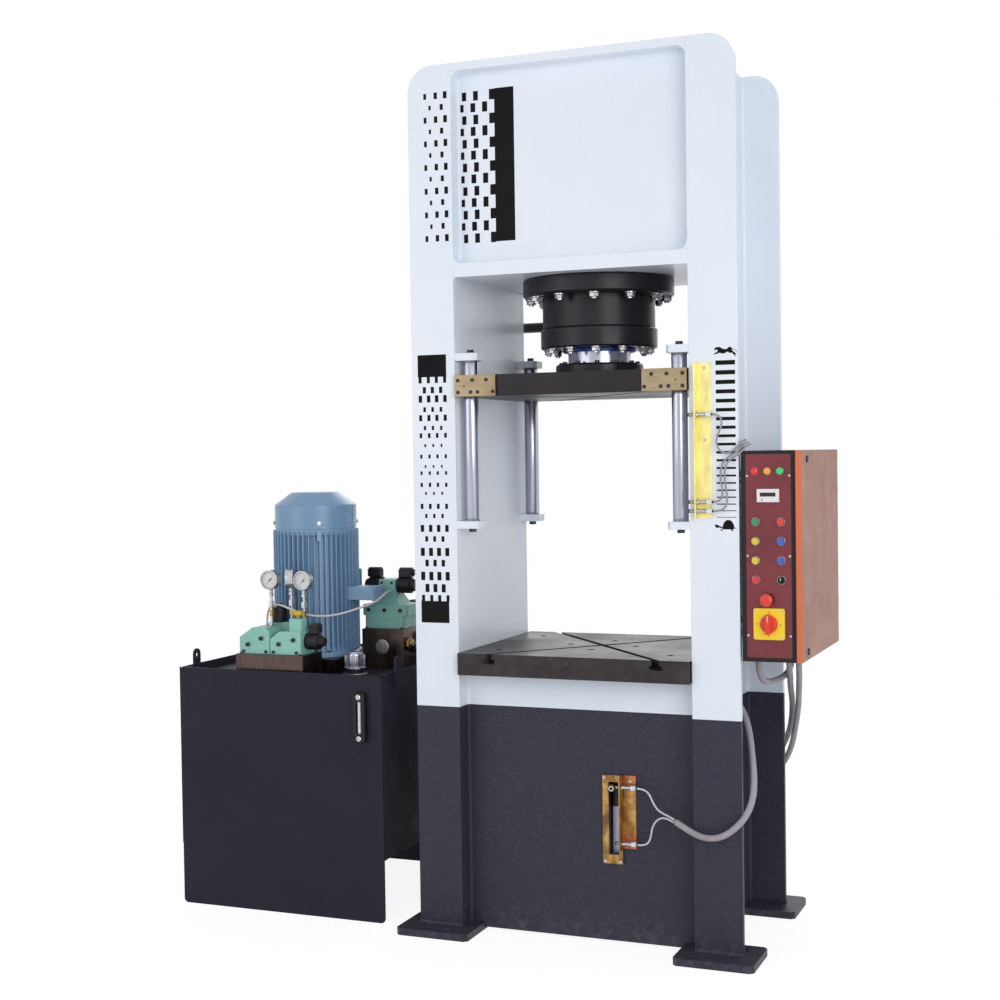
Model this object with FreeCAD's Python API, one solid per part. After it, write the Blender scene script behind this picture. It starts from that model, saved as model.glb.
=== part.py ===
"""Deep-drawing hydraulic press with its power pack and control cabinet.

Millimetres. X to the right seen from the front, Y to the back, Z up.
The origin is the point of the floor under the main cylinder's axis.
Each function below makes one piece, or one group of like pieces, and NODES names them.
"""
import FreeCAD, Part
import math
import os

Vec = FreeCAD.Vector
UP = Vec(0, 0, 1)

# ---- driving dimensions -------------------------------------------------------------------
# frame
FRAME_WIDTH = 1100.0
FRAME_DEPTH = 630.0
FRAME_HEIGHT = 2863.0
COLUMN_WIDTH = 155.0
EDGE_PLATE = 20.0
COLUMN_PLATE = 30.0
COLUMN_CORNER = 88.0
FOOT_PLATE = 24.0
CROWN_PLATE = 27.0
CYLINDER_PLATE = 45.0
DAYLIGHT_TOP = 2166.0
CROWN_RECESS = 57.0
BED_RECESS = 70.0
BED_TOP = 862.0
BED_PLATE = 60.0
FACE_PLATE = 20.0

HALF_WIDTH = FRAME_WIDTH / 2
HALF_DEPTH = FRAME_DEPTH / 2
WINDOW = HALF_WIDTH - COLUMN_WIDTH
INNER_DEPTH = HALF_DEPTH - EDGE_PLATE
CROWN_UNDER = FRAME_HEIGHT - CROWN_PLATE
CROWN_FLOOR = DAYLIGHT_TOP + CYLINDER_PLATE
CROWN_FACE = HALF_DEPTH - CROWN_RECESS
BED_FACE = HALF_DEPTH - BED_RECESS

# feet and their holes
FOOT_X = (345.0, 601.0)
FOOT_Y = (200.0, 402.0)
FOOT_CORNER = 12.0
ANCHOR_X = 540.0
LEVELLING_X = 480.0
FOOT_HOLE_Y = 245.0
FOOT_HOLE = 9.0

# die plates
BOLSTER = 72.0
BOLSTER_TOP = BED_TOP + BOLSTER
BOLSTER_HALF = (392.0, 335.0)
PLATEN_BOTTOM = 1775.0
PLATEN = 70.0
PLATEN_TOP = PLATEN_BOTTOM + PLATEN
PLATEN_HALF = (392.0, 317.0)
SLOT_NECK = (20.0, 18.0)
SLOT_FOOT = (34.0, 14.0)
SLOT_END = (285.0, 335.0)
PIN_HOLE = 11.0
PIN_HOLES = ((115, 0), (-115, 0), (0, 125), (0, -125))
FIXING_HOLES = ((295, 205), (-295, 205), (295, -205), (-295, -205))
GUIDE_PLATE = (145.0, 10.0)

# pillars and brackets
PILLAR = 25.0
PILLAR_X = 355.0
PILLAR_Y = 275.0
PILLAR_Z = (1367.0, 1893.0)
BRACKET = 25.0
BRACKET_X = (320.0, WINDOW)
BRACKET_Y = (235.0, HALF_DEPTH)

# running clearance of every shaft in its hole, and the flat sides that stand for a large round
RUNNING = 0.05
ROUND = 20

# main cylinder
BORE = 140.0
BARREL = 189.0
BARREL_FLANGE = 254.0
FLANGE_BOTTOM = 2104.0
BARREL_BOTTOM = 1999.0
BARREL_TOP = 2640.0
GLAND = 196.0
GLAND_BOTTOM = 1933.0
RAM = 105.0
RAM_RING = 147.0
RAM_RING_TOP = 1882.0
WIPER = 120.0
WIPER_BOTTOM = 1926.0
PISTON_Z = (2462.0, 2562.0)
NUT_CIRCLES = ((12, 228.0, FLANGE_BOTTOM, 18.0), (12, 170.0, GLAND_BOTTOM, 16.0))
PORT_Z = 2045.0

# die cushion
CUSHION_HALF = (200.0, 170.0)
CUSHION_TOP = 852.0
CUSHION_PLATE = 40.0
CUSHION_ROD = 45.0
CUSHION_BARREL_Z = (345.0, 632.0)
CROSSBEAM_Z = (560.0, 600.0)
SLOT_X = (97.0, 130.0)
SLOT_Z = (290.0, 525.0)
TRIP = Vec(113, 0, 508)
BAR_X = (100.0, 126.0)
BAR_Y = (-218.0, -206.0)
CUSHION_PORT_Z = 440.0
CUSHION_PIPE = 12.0
FEED_PIPE = 18.0
FEED_Z = 2720.0

# position switches
SWITCH = 6.0
UPPER_SWITCHES = (1698.0, 1429.0, 1401.0)
LOWER_SWITCHES = (514.0, 333.0)
RAIL_Z = (1379.0, 1857.0)

# cabinet
CABINET_X = (558.0, 725.0)
CABINET_Y = (-320.0, 280.0)
CABINET_Z = (940.0, 1585.0)
SHEET = 3.0
DOOR_DEPTH = 18.0
HINGE = Vec(734, 286, 0)
HINGE_HEIGHTS = (1060.0, 1440.0)
HINGE_PIN = 2.5
PANEL_X = (572.0, 713.0)
PANEL_Z = (952.0, 1575.0)
PANEL_FRONT = CABINET_Y[0] - SHEET
BUTTON = 11.0
BUTTONS = {
    "start_button": (603, 1368),
    "stop_button": (681, 1368),
    "ram_up_button": (603, 1309),
    "ram_down_button": (681, 1309),
    "cushion_up_button": (603, 1250),
    "cushion_down_button": (681, 1250),
    "reset_button": (603, 1191),
}
SELECTOR = (681, 1191)
EMERGENCY = (638, 1131)
ISOLATOR = (643, 1057)
LOCKS = {"upper_door_lock": (1557, -1), "lower_door_lock": (965, 1)}
LOCK_Y = -236.0
# foot, outward direction, radius and length of each cable gland
GLANDS = (
    (Vec(572, -170, 940), Vec(0, 0, -1), 14, 14),
    (Vec(618, 130, 940), Vec(0, 0, -1), 14, 14),
    (Vec(633, 0, 940), Vec(0, 0, -1), 14, 18),
    (Vec(662, 14, 940), Vec(0, 0, -1), 14, 18),
    (Vec(558, -140, 1010), Vec(-1, 0, 0), 14, 12),
    (Vec(558, -232, 1513), Vec(-1, 0, 0), 11, 12),
)

# power pack
TANK_X = (-1487.0, -687.0)
TANK_Y = (-305.0, 495.0)
TANK_RIM = 844.0
TANK_FLOOR = 214.0
TANK_WALL = 5.0
LID_TOP = 815.0
MOTOR = Vec(-1112, 30, 0)
MOTOR_BASE = 865.0
MOTOR_FINS = 36
MOTOR_GLAND_Y = 245.0
RISER_X = (-1267.0, -1000.0)
RISER_Y = (-285.0, -145.0)
RISER_TOP = 897.0
MANIFOLD_X = (-948.0, -781.0)
MANIFOLD_Y = (65.0, 225.0)
MANIFOLD_TOP = 957.0
FILLER = Vec(-890, -105, 0)
GAUGE = 35.0
GAUGE_CENTRES = (Vec(-1163, -215, 1154), Vec(-1043, -194, 1151), Vec(-1109, -170, 1156))
GAUGE_FEET = (990.0, 978.0, 1000.0)
GAUGE_TURNS = (0.0, 0.0, 68.0)


SQUARE = ((-1, -1), (1, -1), (1, 1), (-1, 1), (-1, -1))

# ---- plain shapes -------------------------------------------------------------------------
def box(x, y, z):
    """A block between the two values of each axis."""
    low = Vec(min(x), min(y), min(z))
    return Part.makeBox(max(x) - low.x, max(y) - low.y, max(z) - low.z, low)


def rod(foot, length, radius, along=UP):
    return Part.makeCylinder(radius, length, foot, along)


def prism(points, thickness):
    """A flat outline of 3-D points made thick along the given vector."""
    return Part.Face(Part.makePolygon(points + points[:1])).extrude(thickness)


def ring(radius, height, sides):
    """Corners of a regular outline in the plane of the given height."""
    corners = []
    for k in range(sides):
        turn = 2 * math.pi * k / sides
        corners.append(Vec(radius * math.cos(turn), radius * math.sin(turn), height))
    return corners


def bar(foot, length, radius, along=UP, sides=12):
    """A rod of flat sides, its corners on the circle; six sides make a nut."""
    solid = prism(ring(radius, 0, sides), Vec(0, 0, length))
    solid.Placement = FreeCAD.Placement(foot, FreeCAD.Rotation(UP, along))
    return solid


def clear(radius, sides):
    """Corner radius of a flat-sided hole in which a shaft of this radius turns freely."""
    return (radius + RUNNING) / math.cos(math.pi / sides)


def turned(profile, centre=Vec(0, 0, 0), axis=UP, sides=ROUND):
    """A solid of flat sides from (radius, height) points about an axis through centre."""
    rings = [ring(radius, height, sides) for radius, height in profile]
    faces = []
    for k in range(len(profile)):
        low, high = rings[k - 1], rings[k]
        for j in range(sides):
            corners = []
            for corner in (low[j - 1], low[j], high[j], high[j - 1]):
                if all((corner - other).Length > 1e-6 for other in corners):
                    corners.append(corner)
            if len(corners) > 2:
                faces.append(Part.Face(Part.makePolygon(corners + corners[:1])))
    solid = Part.Solid(Part.Shell(faces)).removeSplitter()
    if solid.Volume < 0:
        solid.reverse()
    solid.Placement = FreeCAD.Placement(centre, FreeCAD.Rotation(UP, axis))
    return solid


def mirrored(solid, x=True, y=True):
    """The solid with its images across the middle planes."""
    solids = [solid]
    if x:
        solids += [s.mirror(Vec(0, 0, 0), Vec(1, 0, 0)) for s in solids]
    if y:
        solids += [s.mirror(Vec(0, 0, 0), Vec(0, 1, 0)) for s in solids]
    return solids


def group(*solids):
    """Separate solids kept side by side in one node."""
    flat = []
    for solid in solids:
        flat += solid if isinstance(solid, list) else [solid]
    return Part.makeCompound(flat)


def eased(solid, edges_along, size):
    """Chamfers every edge that runs along the given axis."""
    chosen = []
    for edge in solid.Edges:
        if edge.Curve.TypeId != "Part::GeomLine":
            continue
        way = edge.Curve.Direction
        if abs(abs(way.dot(edges_along)) - 1) < 1e-6:
            chosen.append(edge)
    return solid.makeChamfer(size, chosen)


# ---- frame --------------------------------------------------------------------------------
def column_edge_plates():
    """Front and rear plates of the two columns, their outer top corners rounded."""
    low, high = FOOT_PLATE, FRAME_HEIGHT
    turn = Vec(HALF_WIDTH - COLUMN_CORNER, HALF_DEPTH, high - COLUMN_CORNER)
    slope = COLUMN_CORNER / math.sqrt(2)
    start = Vec(HALF_WIDTH, HALF_DEPTH, high - COLUMN_CORNER)
    middle = Vec(turn.x + slope, HALF_DEPTH, turn.z + slope)
    end = Vec(HALF_WIDTH - COLUMN_CORNER, HALF_DEPTH, high)
    corners = [end, Vec(WINDOW, HALF_DEPTH, high), Vec(WINDOW, HALF_DEPTH, low)]
    corners += [Vec(HALF_WIDTH, HALF_DEPTH, low), start]
    edges = [Part.Arc(start, middle, end).toShape()]
    edges += [Part.makeLine(a, b) for a, b in zip(corners, corners[1:])]
    plate = Part.Face(Part.Wire(edges)).extrude(Vec(0, -EDGE_PLATE, 0))
    return group(mirrored(plate))


def column_inner_plates():
    """The thick plates that join each column's front and rear plates."""
    width = (WINDOW, WINDOW + COLUMN_PLATE)
    plate = box(width, (-INNER_DEPTH, INNER_DEPTH), (FOOT_PLATE, CROWN_UNDER))
    return group(mirrored(plate, y=False))


def foot_plates():
    foot = box(FOOT_X, FOOT_Y, (0, FOOT_PLATE))
    foot = eased(foot, UP, FOOT_CORNER)
    for x in (ANCHOR_X, LEVELLING_X):
        foot = foot.cut(rod(Vec(x, FOOT_HOLE_Y, 0), FOOT_PLATE, FOOT_HOLE))
    return group(mirrored(foot))


def crown_box_plates():
    """Top plate, recessed front and rear faces, and two ribs beside the barrel."""
    top = box((-WINDOW, WINDOW), (-HALF_DEPTH, HALF_DEPTH), (CROWN_UNDER, FRAME_HEIGHT))
    across = (-WINDOW - COLUMN_PLATE, WINDOW + COLUMN_PLATE)
    top = top.fuse(box(across, (-INNER_DEPTH, INNER_DEPTH), (CROWN_UNDER, FRAME_HEIGHT))).removeSplitter()
    faces = []
    for side in (-1, 1):
        outer = side * CROWN_FACE
        inner = side * (CROWN_FACE - FACE_PLATE)
        face = box((-WINDOW, WINDOW), (outer, inner), (CROWN_FLOOR, CROWN_UNDER))
        if side > 0:
            face = face.cut(bar(Vec(0, inner, FEED_Z), FACE_PLATE, FEED_PIPE + 4, Vec(0, 1, 0)))
        faces.append(face)
    rib = box((215, 235), (-CROWN_FACE + FACE_PLATE, CROWN_FACE - FACE_PLATE), (CROWN_FLOOR, CROWN_UNDER))
    return group(top, faces, mirrored(rib, y=False))


def crown_bottom_plate():
    plate = box((-WINDOW, WINDOW), (-HALF_DEPTH, HALF_DEPTH), (DAYLIGHT_TOP, CROWN_FLOOR))
    return plate.cut(bar(Vec(0, 0, DAYLIGHT_TOP), CYLINDER_PLATE, BARREL + 0.3, sides=ROUND))


def bed_face(side):
    """A face plate of the bed, its lower corners notched over the foot plates."""
    y = side * BED_FACE
    notch = FOOT_X[0] - 1
    right = [(notch, 8), (notch, FOOT_PLATE), (WINDOW, FOOT_PLATE), (WINDOW, BED_TOP)]
    points = [Vec(x, y, z) for x, z in right] + [Vec(-x, y, z) for x, z in reversed(right)]
    return prism(points, Vec(0, -side * FACE_PLATE, 0))


def bed_front_web():
    slot = box(SLOT_X, (-BED_FACE - 1, -BED_FACE + FACE_PLATE + 1), SLOT_Z)
    return bed_face(-1).cut(slot)


def bed_inner_plates():
    """Rear face plate, and the beam that carries the cushion cylinder."""
    way = Vec(0, 1, 0)
    port = Vec(0, BED_FACE - FACE_PLATE, CUSHION_PORT_Z)
    rear = bed_face(1).cut(bar(port, FACE_PLATE, CUSHION_PIPE + 4, way))
    beam = box((-WINDOW, WINDOW), (-200, 200), CROSSBEAM_Z)
    beam = beam.cut(bar(Vec(0, 0, CROSSBEAM_Z[0]), 40, 90.3, sides=ROUND))
    return group(rear, beam)


def bed_top_plate():
    """Thick plate open round the cushion table, with a notch for the trip bar."""
    inside = BED_FACE - FACE_PLATE
    height = (BED_TOP - BED_PLATE, BED_TOP)
    plate = box((-WINDOW, WINDOW), (-inside, inside), height)
    room = 5
    half_x, half_y = CUSHION_HALF
    table = box((-half_x - room, half_x + room), (-half_y - room, half_y + room), height)
    plate = plate.cut(table)
    return plate.cut(box((BAR_X[0] - room, BAR_X[1] + room), (-inside, -half_y), height))


# ---- die plates ---------------------------------------------------------------------------
def t_slots(mouth, inward):
    """Two crossing T-slots from corner region to corner region; inward is +1 up or -1 down."""
    end_x, end_y = SLOT_END
    length = 2 * math.hypot(end_x, end_y) + 120
    slots = []
    for sign in (1, -1):
        half = length / 2
        neck = box((-half, half), (-SLOT_NECK[0] / 2, SLOT_NECK[0] / 2), (0, SLOT_NECK[1]))
        bottom = SLOT_NECK[1] + SLOT_FOOT[1]
        foot = box((-half, half), (-SLOT_FOOT[0] / 2, SLOT_FOOT[0] / 2), (SLOT_NECK[1], bottom))
        slot = neck.fuse(foot)
        if inward < 0:
            slot = slot.mirror(Vec(0, 0, 0), UP)
        slot.rotate(Vec(0, 0, 0), UP, math.degrees(math.atan2(end_y, sign * end_x)))
        slot.translate(Vec(0, 0, mouth))
        slots.append(slot)
    return slots[0].fuse(slots[1])


def bolster():
    half_x, half_y = BOLSTER_HALF
    plate = box((-half_x, half_x), (-half_y, half_y), (BED_TOP, BOLSTER_TOP))
    plate = plate.cut(t_slots(BOLSTER_TOP, -1))
    for x, y in PIN_HOLES + FIXING_HOLES:
        plate = plate.cut(bar(Vec(x, y, BED_TOP), BOLSTER, PIN_HOLE, sides=16))
    return plate


def platen():
    half_x, half_y = PLATEN_HALF
    plate = box((-half_x, half_x), (-half_y, half_y), (PLATEN_BOTTOM, PLATEN_TOP))
    plate = plate.cut(t_slots(PLATEN_BOTTOM, 1))
    hole = bar(Vec(PILLAR_X, PILLAR_Y, PLATEN_BOTTOM), PLATEN, PILLAR + RUNNING, sides=16)
    for hole in mirrored(hole):
        plate = plate.cut(hole)
    return plate


def bronze_guide_plates():
    half_x, half_y = PLATEN_HALF
    width, thickness = GUIDE_PLATE
    plate = box((half_x - width, half_x), (half_y, half_y + thickness), (PLATEN_BOTTOM, PLATEN_TOP))
    return group(mirrored(plate))


# ---- pillars ------------------------------------------------------------------------------
def guide_pillars():
    low, high = PILLAR_Z
    return group(mirrored(bar(Vec(PILLAR_X, PILLAR_Y, low), high - low, PILLAR, sides=16)))


def pillar_brackets():
    """Plates that hold each pillar's ends, their free corners cut."""
    brackets = []
    for z in (PILLAR_Z[0] - BRACKET, PILLAR_Z[1]):
        cut = 12
        outline = [
            (BRACKET_X[1], BRACKET_Y[0]),
            (BRACKET_X[1], BRACKET_Y[1]),
            (BRACKET_X[0] + cut, BRACKET_Y[1]),
            (BRACKET_X[0], BRACKET_Y[1] - cut),
            (BRACKET_X[0], BRACKET_Y[0] + cut),
            (BRACKET_X[0] + cut, BRACKET_Y[0]),
        ]
        brackets += mirrored(prism([Vec(x, y, z) for x, y in outline], Vec(0, 0, BRACKET)))
    return group(brackets)


def press_bolts():
    """Cylinder nuts, gland nuts and the pillars' end screws."""
    bolts = []
    for count, circle, face, corner in NUT_CIRCLES:
        for k in range(count):
            turn = math.radians(15 + 360 * k / count)
            foot = Vec(circle * math.cos(turn), circle * math.sin(turn), face - 18)
            bolts.append(bar(foot, 18, corner, sides=6))
    for z in (PILLAR_Z[0] - BRACKET - 12, PILLAR_Z[1] + BRACKET):
        bolts += mirrored(bar(Vec(PILLAR_X, PILLAR_Y, z), 12, 14, sides=6))
    return group(bolts)


# ---- main cylinder ------------------------------------------------------------------------
def cylinder_barrel():
    """Flanged barrel, closed at the top by its end cap, with the rear port's boss."""
    cap = 50
    outline = [
        (BORE, BARREL_BOTTOM),
        (BARREL - 3, BARREL_BOTTOM),
        (BARREL, BARREL_BOTTOM + 3),
        (BARREL, FLANGE_BOTTOM),
        (BARREL_FLANGE - 6, FLANGE_BOTTOM),
        (BARREL_FLANGE, FLANGE_BOTTOM + 6),
        (BARREL_FLANGE, DAYLIGHT_TOP),
        (BARREL, DAYLIGHT_TOP),
        (BARREL, BARREL_TOP),
        (0, BARREL_TOP),
        (0, BARREL_TOP - cap),
        (BORE, BARREL_TOP - cap),
    ]
    return turned(outline)


def cylinder_gland():
    """Gland with its ram hole, and the wiper ring pressed into its mouth."""
    hole = RAM + RUNNING
    ring_seat = WIPER_BOTTOM + 20
    gland = turned(
        [
            (hole, ring_seat),
            (WIPER, ring_seat),
            (WIPER, GLAND_BOTTOM),
            (GLAND - 5, GLAND_BOTTOM),
            (GLAND, GLAND_BOTTOM + 5),
            (GLAND, BARREL_BOTTOM),
            (BORE, BARREL_BOTTOM),
            (BORE, BARREL_BOTTOM + 60),
            (hole, BARREL_BOTTOM + 60),
        ],
    )
    wiper = turned(
        [
            (hole, WIPER_BOTTOM),
            (WIPER, WIPER_BOTTOM),
            (WIPER, ring_seat),
            (hole, ring_seat),
        ],
    )
    return group(gland, wiper)


def press_ram():
    """Ram with its piston in one, and the bolted ring that holds the platen to it."""
    ram = turned(
        [
            (0, PLATEN_TOP),
            (RAM, PLATEN_TOP),
            (RAM, PISTON_Z[0]),
            (BORE - RUNNING, PISTON_Z[0]),
            (BORE - RUNNING, PISTON_Z[1]),
            (0, PISTON_Z[1]),
        ],
    )
    collar = turned(
        [
            (RAM, PLATEN_TOP),
            (RAM_RING, PLATEN_TOP),
            (RAM_RING, RAM_RING_TOP - 4),
            (RAM_RING - 4, RAM_RING_TOP),
            (RAM, RAM_RING_TOP),
        ],
    )
    return group(ram, collar)


# ---- die cushion --------------------------------------------------------------------------
def cushion_barrel():
    """Cushion cylinder hung by its flange on the beam, bored for a through rod."""
    low, high = CUSHION_BARREL_Z
    end = 20
    hole = CUSHION_ROD + RUNNING
    return turned(
        [
            (hole, low),
            (90, low),
            (90, CROSSBEAM_Z[1]),
            (125, CROSSBEAM_Z[1]),
            (125, CROSSBEAM_Z[1] + 22),
            (90, high),
            (hole, high),
            (hole, high - end),
            (70, high - end),
            (70, low + end),
            (hole, low + end),
        ]
    )


def cushion_table():
    half_x, half_y = CUSHION_HALF
    return box((-half_x, half_x), (-half_y, half_y), (CUSHION_TOP - CUSHION_PLATE, CUSHION_TOP))


def cushion_rod():
    """Through rod with its piston, and the trip bar with the screw that passes out through the slot."""
    table_under = CUSHION_TOP - CUSHION_PLATE
    piston = 70 - RUNNING
    rod_shape = turned(
        [
            (0, 215),
            (CUSHION_ROD, 215),
            (CUSHION_ROD, 560),
            (piston, 560),
            (piston, 600),
            (CUSHION_ROD, 600),
            (CUSHION_ROD, table_under),
            (0, table_under),
        ]
    )
    outer, inner = BAR_Y
    foot = table_under - 12
    side = [
        (-150, table_under),
        (-150, foot),
        (inner, foot),
        (inner, 284),
        (outer, 284),
        (outer, table_under),
    ]
    strip = prism([Vec(BAR_X[0], y, z) for y, z in side], Vec(BAR_X[1] - BAR_X[0], 0, 0))
    way = Vec(0, -1, 0)
    shank = bar(Vec(TRIP.x, outer, TRIP.z), 44, 6, way)
    section = [(0, 0), (11, 0), (11, 8), (8, 13), (0, 13)]
    head = turned(section, Vec(TRIP.x, outer - 44, TRIP.z), way, sides=12)
    return group(rod_shape, strip.fuse(shank).fuse(head))


# ---- position switches --------------------------------------------------------------------
def switch_mounts():
    """Zinc-yellow angle on the right column, brass slot frame and brass angle on the bed."""
    face = -HALF_DEPTH
    hole_way = Vec(1, 0, 0)
    rail = box((421, 467), (face - 3, face), RAIL_Z)
    rail = rail.fuse(box((421, 425), (face - 42, face), RAIL_Z)).removeSplitter()
    for z in UPPER_SWITCHES:
        rail = rail.cut(bar(Vec(420, face - 20, z), 6, SWITCH + RUNNING, hole_way, sides=8))
    web = -BED_FACE
    frame = box((76, 144), (web - 8, web), (260, 547)).cut(box(SLOT_X, (web - 8, web), SLOT_Z))
    angle = box((144, 188), (web - 4, web), (312, 548))
    angle = angle.fuse(box((144, 148), (web - 48, web), (312, 548))).removeSplitter()
    for z in LOWER_SWITCHES:
        angle = angle.cut(bar(Vec(143, web - 30, z), 6, SWITCH + RUNNING, hole_way, sides=8))
    return group(rail, frame, angle)


def position_switch(tip, plate, threaded):
    """One inductive switch along X, with the two thin nuts that clamp it to its plate, and its plug."""
    end = threaded + 20
    outline = [(0, 0), (SWITCH, 0), (SWITCH, threaded), (8, threaded), (8, end - 6), (4, end), (0, end)]
    way = Vec(1, 0, 0)
    switch = turned(outline, tip, way, sides=8)
    for x in (plate - 4, plate + 4):
        switch = switch.fuse(bar(Vec(x, tip.y, tip.z), 4, 9.5, way, sides=6))
    return switch


def position_switches():
    upper_y = -HALF_DEPTH - 20
    lower_y = -BED_FACE - 30
    switches = [position_switch(Vec(397, upper_y, z), 421, 58) for z in UPPER_SWITCHES]
    switches += [position_switch(Vec(126, lower_y, z), 144, 54) for z in LOWER_SWITCHES]
    return group(switches)


# ---- cabinet ------------------------------------------------------------------------------
def cabinet_shell():
    """Folded sheet body open to the right, with hinge pins, cable glands and two arms to the column."""
    x0, x1 = CABINET_X
    y0, y1 = CABINET_Y
    z0, z1 = CABINET_Z
    shell = box(CABINET_X, CABINET_Y, CABINET_Z)
    room = [(low + SHEET, high - SHEET) for low, high in (CABINET_X, CABINET_Y, CABINET_Z)]
    shell = shell.cut(box(*room))
    lip = 15
    shell = shell.cut(box((x1 - SHEET, x1), (y0 + lip, y1 - lip), (z0 + lip, z1 - lip)))
    mouth = [(low + 5, high - 5) for low, high in (PANEL_X, PANEL_Z)]
    shell = shell.cut(box(mouth[0], (y0, y0 + SHEET), mouth[1]))
    pins = []
    for z in HINGE_HEIGHTS:
        leaf = box((x1 - 20, HINGE.x), (y1, y1 + 3), (z - 25, z))
        leaf = leaf.cut(box((x1, HINGE.x), (y1, y1 + 3), (z - 25, z)))
        arm = box((x1 - 8, HINGE.x - 3), (y1 + 3, HINGE.y + 3), (z - 25, z))
        eye = bar(Vec(HINGE.x, HINGE.y, z - 25), 25, 5)
        pin = bar(Vec(HINGE.x, HINGE.y, z), 22, HINGE_PIN)
        pins.append(leaf.fuse(arm).fuse(eye).fuse(pin))
    glands = [bar(foot, length, radius, way) for foot, way, radius, length in GLANDS]
    arms = []
    for z in (1030, 1480):
        arms.append(box((WINDOW + COLUMN_PLATE, x0), (-60, 60), (z, z + 12)))
    return group(shell, pins, glands, arms)


def control_panel():
    """Front plate with a hole for each device that passes through it."""
    panel = box(PANEL_X, (PANEL_FRONT, CABINET_Y[0]), PANEL_Z)
    for x, z in list(BUTTONS.values()) + [SELECTOR]:
        panel = panel.cut(bar(Vec(x, PANEL_FRONT, z), SHEET, clear(BUTTON - 3, 12), Vec(0, 1, 0)))
    for x, z in (EMERGENCY, ISOLATOR):
        panel = panel.cut(bar(Vec(x, PANEL_FRONT, z), SHEET, clear(8, 12), Vec(0, 1, 0)))
    return panel


def panel_fittings():
    """Three pilot lights, the counter and the isolator's plate."""
    lights = []
    way = Vec(0, -1, 0)
    lamp = [(0, 0), (12, 0), (12, 4), (9, 5), (8, 10), (4, 12), (0, 12)]
    for x in (601, 640, 679):
        lights.append(turned(lamp, Vec(x, PANEL_FRONT, 1522), way, sides=12))
    counter = box((609, 677), (PANEL_FRONT - 9, PANEL_FRONT), (1428, 1468))
    counter = counter.cut(box((618, 668), (PANEL_FRONT - 9, PANEL_FRONT - 6), (1444, 1458)))
    plate = eased(box((595, 691), (PANEL_FRONT - 8, PANEL_FRONT), (1009, 1105)), Vec(0, 1, 0), 7)
    plate = plate.cut(bar(Vec(ISOLATOR[0], PANEL_FRONT, ISOLATOR[1]), 8, clear(8, 12), way))
    return group(lights, counter, plate)


def push_button(x, z):
    """A flush button on its stem, proud of the panel by its travel and a little more."""
    stem = BUTTON - 3
    outline = [(0, -16), (stem, -16), (stem, 7), (BUTTON, 7), (BUTTON, 12), (BUTTON - 2, 13.5), (0, 13.5)]
    return turned(outline, Vec(x, PANEL_FRONT, z), Vec(0, -1, 0), sides=12)


def emergency_stop():
    x, z = EMERGENCY
    outline = [(0, -20), (8, -20), (8, 14), (13, 18), (20, 22), (20, 26), (14, 31), (0, 32)]
    return turned(outline, Vec(x, PANEL_FRONT, z), Vec(0, -1, 0), sides=12)


def selector_knob():
    """Round skirt with a raised finger bar."""
    x, z = SELECTOR
    outline = [(0, -14), (8, -14), (8, 0.5), (BUTTON, 0.5), (BUTTON, 8), (0, 8)]
    skirt = turned(outline, Vec(x, PANEL_FRONT, z), Vec(0, -1, 0), sides=12)
    finger = box((x - 4, x + 4), (PANEL_FRONT - 17, PANEL_FRONT - 8), (z - 10, z + 10))
    return skirt.fuse(finger)


def isolator_handle():
    """Hub and finger bar, tapered to its ends, standing on the isolator plate."""
    x, z = ISOLATOR
    face = PANEL_FRONT - 8
    section = [(0, -24), (8, -24), (8, 0.5), (27, 0.5), (27, 6), (24, 9), (0, 9)]
    hub = turned(section, Vec(x, face, z), Vec(0, -1, 0), sides=12)
    outline = [(-7, -30), (7, -30), (9, 0), (7, 30), (-7, 30), (-9, 0)]
    finger = prism([Vec(x + a, face - 3, z + b) for a, b in outline], Vec(0, -21, 0))
    return hub.fuse(finger)


def cabinet_door():
    """Folded pan that closes the cabinet's right side, with its two hinge eyes."""
    x1 = CABINET_X[1]
    outer = x1 + DOOR_DEPTH
    door = box((x1, outer), CABINET_Y, CABINET_Z)
    room = [(low + SHEET, high - SHEET) for low, high in (CABINET_Y, CABINET_Z)]
    door = door.cut(box((x1, outer - SHEET), room[0], room[1]))
    for z, way in LOCKS.values():
        door = door.cut(bar(Vec(outer - SHEET, LOCK_Y, z), SHEET, clear(8, 12), Vec(1, 0, 0)))
    for z in HINGE_HEIGHTS:
        eye = bar(Vec(HINGE.x, HINGE.y, z + 0.3), 22, 5)
        eye = eye.cut(bar(Vec(HINGE.x, HINGE.y, z), 30, clear(HINGE_PIN, 12)))
        leaf = box((HINGE.x - 2, HINGE.x + 9), (CABINET_Y[1], HINGE.y - 3), (z + 0.3, z + 22.3))
        door = door.fuse(eye).fuse(leaf)
    return door


def door_lock(z, way):
    """Quarter-turn lock: knob outside, long tongue inside; way is where the open tongue points along Z."""
    outer = CABINET_X[1] + DOOR_DEPTH
    outline = [(0, 0), (8, 0), (8, 27.3), (13, 27.3), (13, 32), (0, 32)]
    body = turned(outline, Vec(outer - 27, LOCK_Y, z), Vec(1, 0, 0), sides=12)
    tongue = box((outer - 27, outer - 24), (LOCK_Y - 8, LOCK_Y + 8), (z, z + way * 70))
    return body.fuse(tongue)


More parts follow.
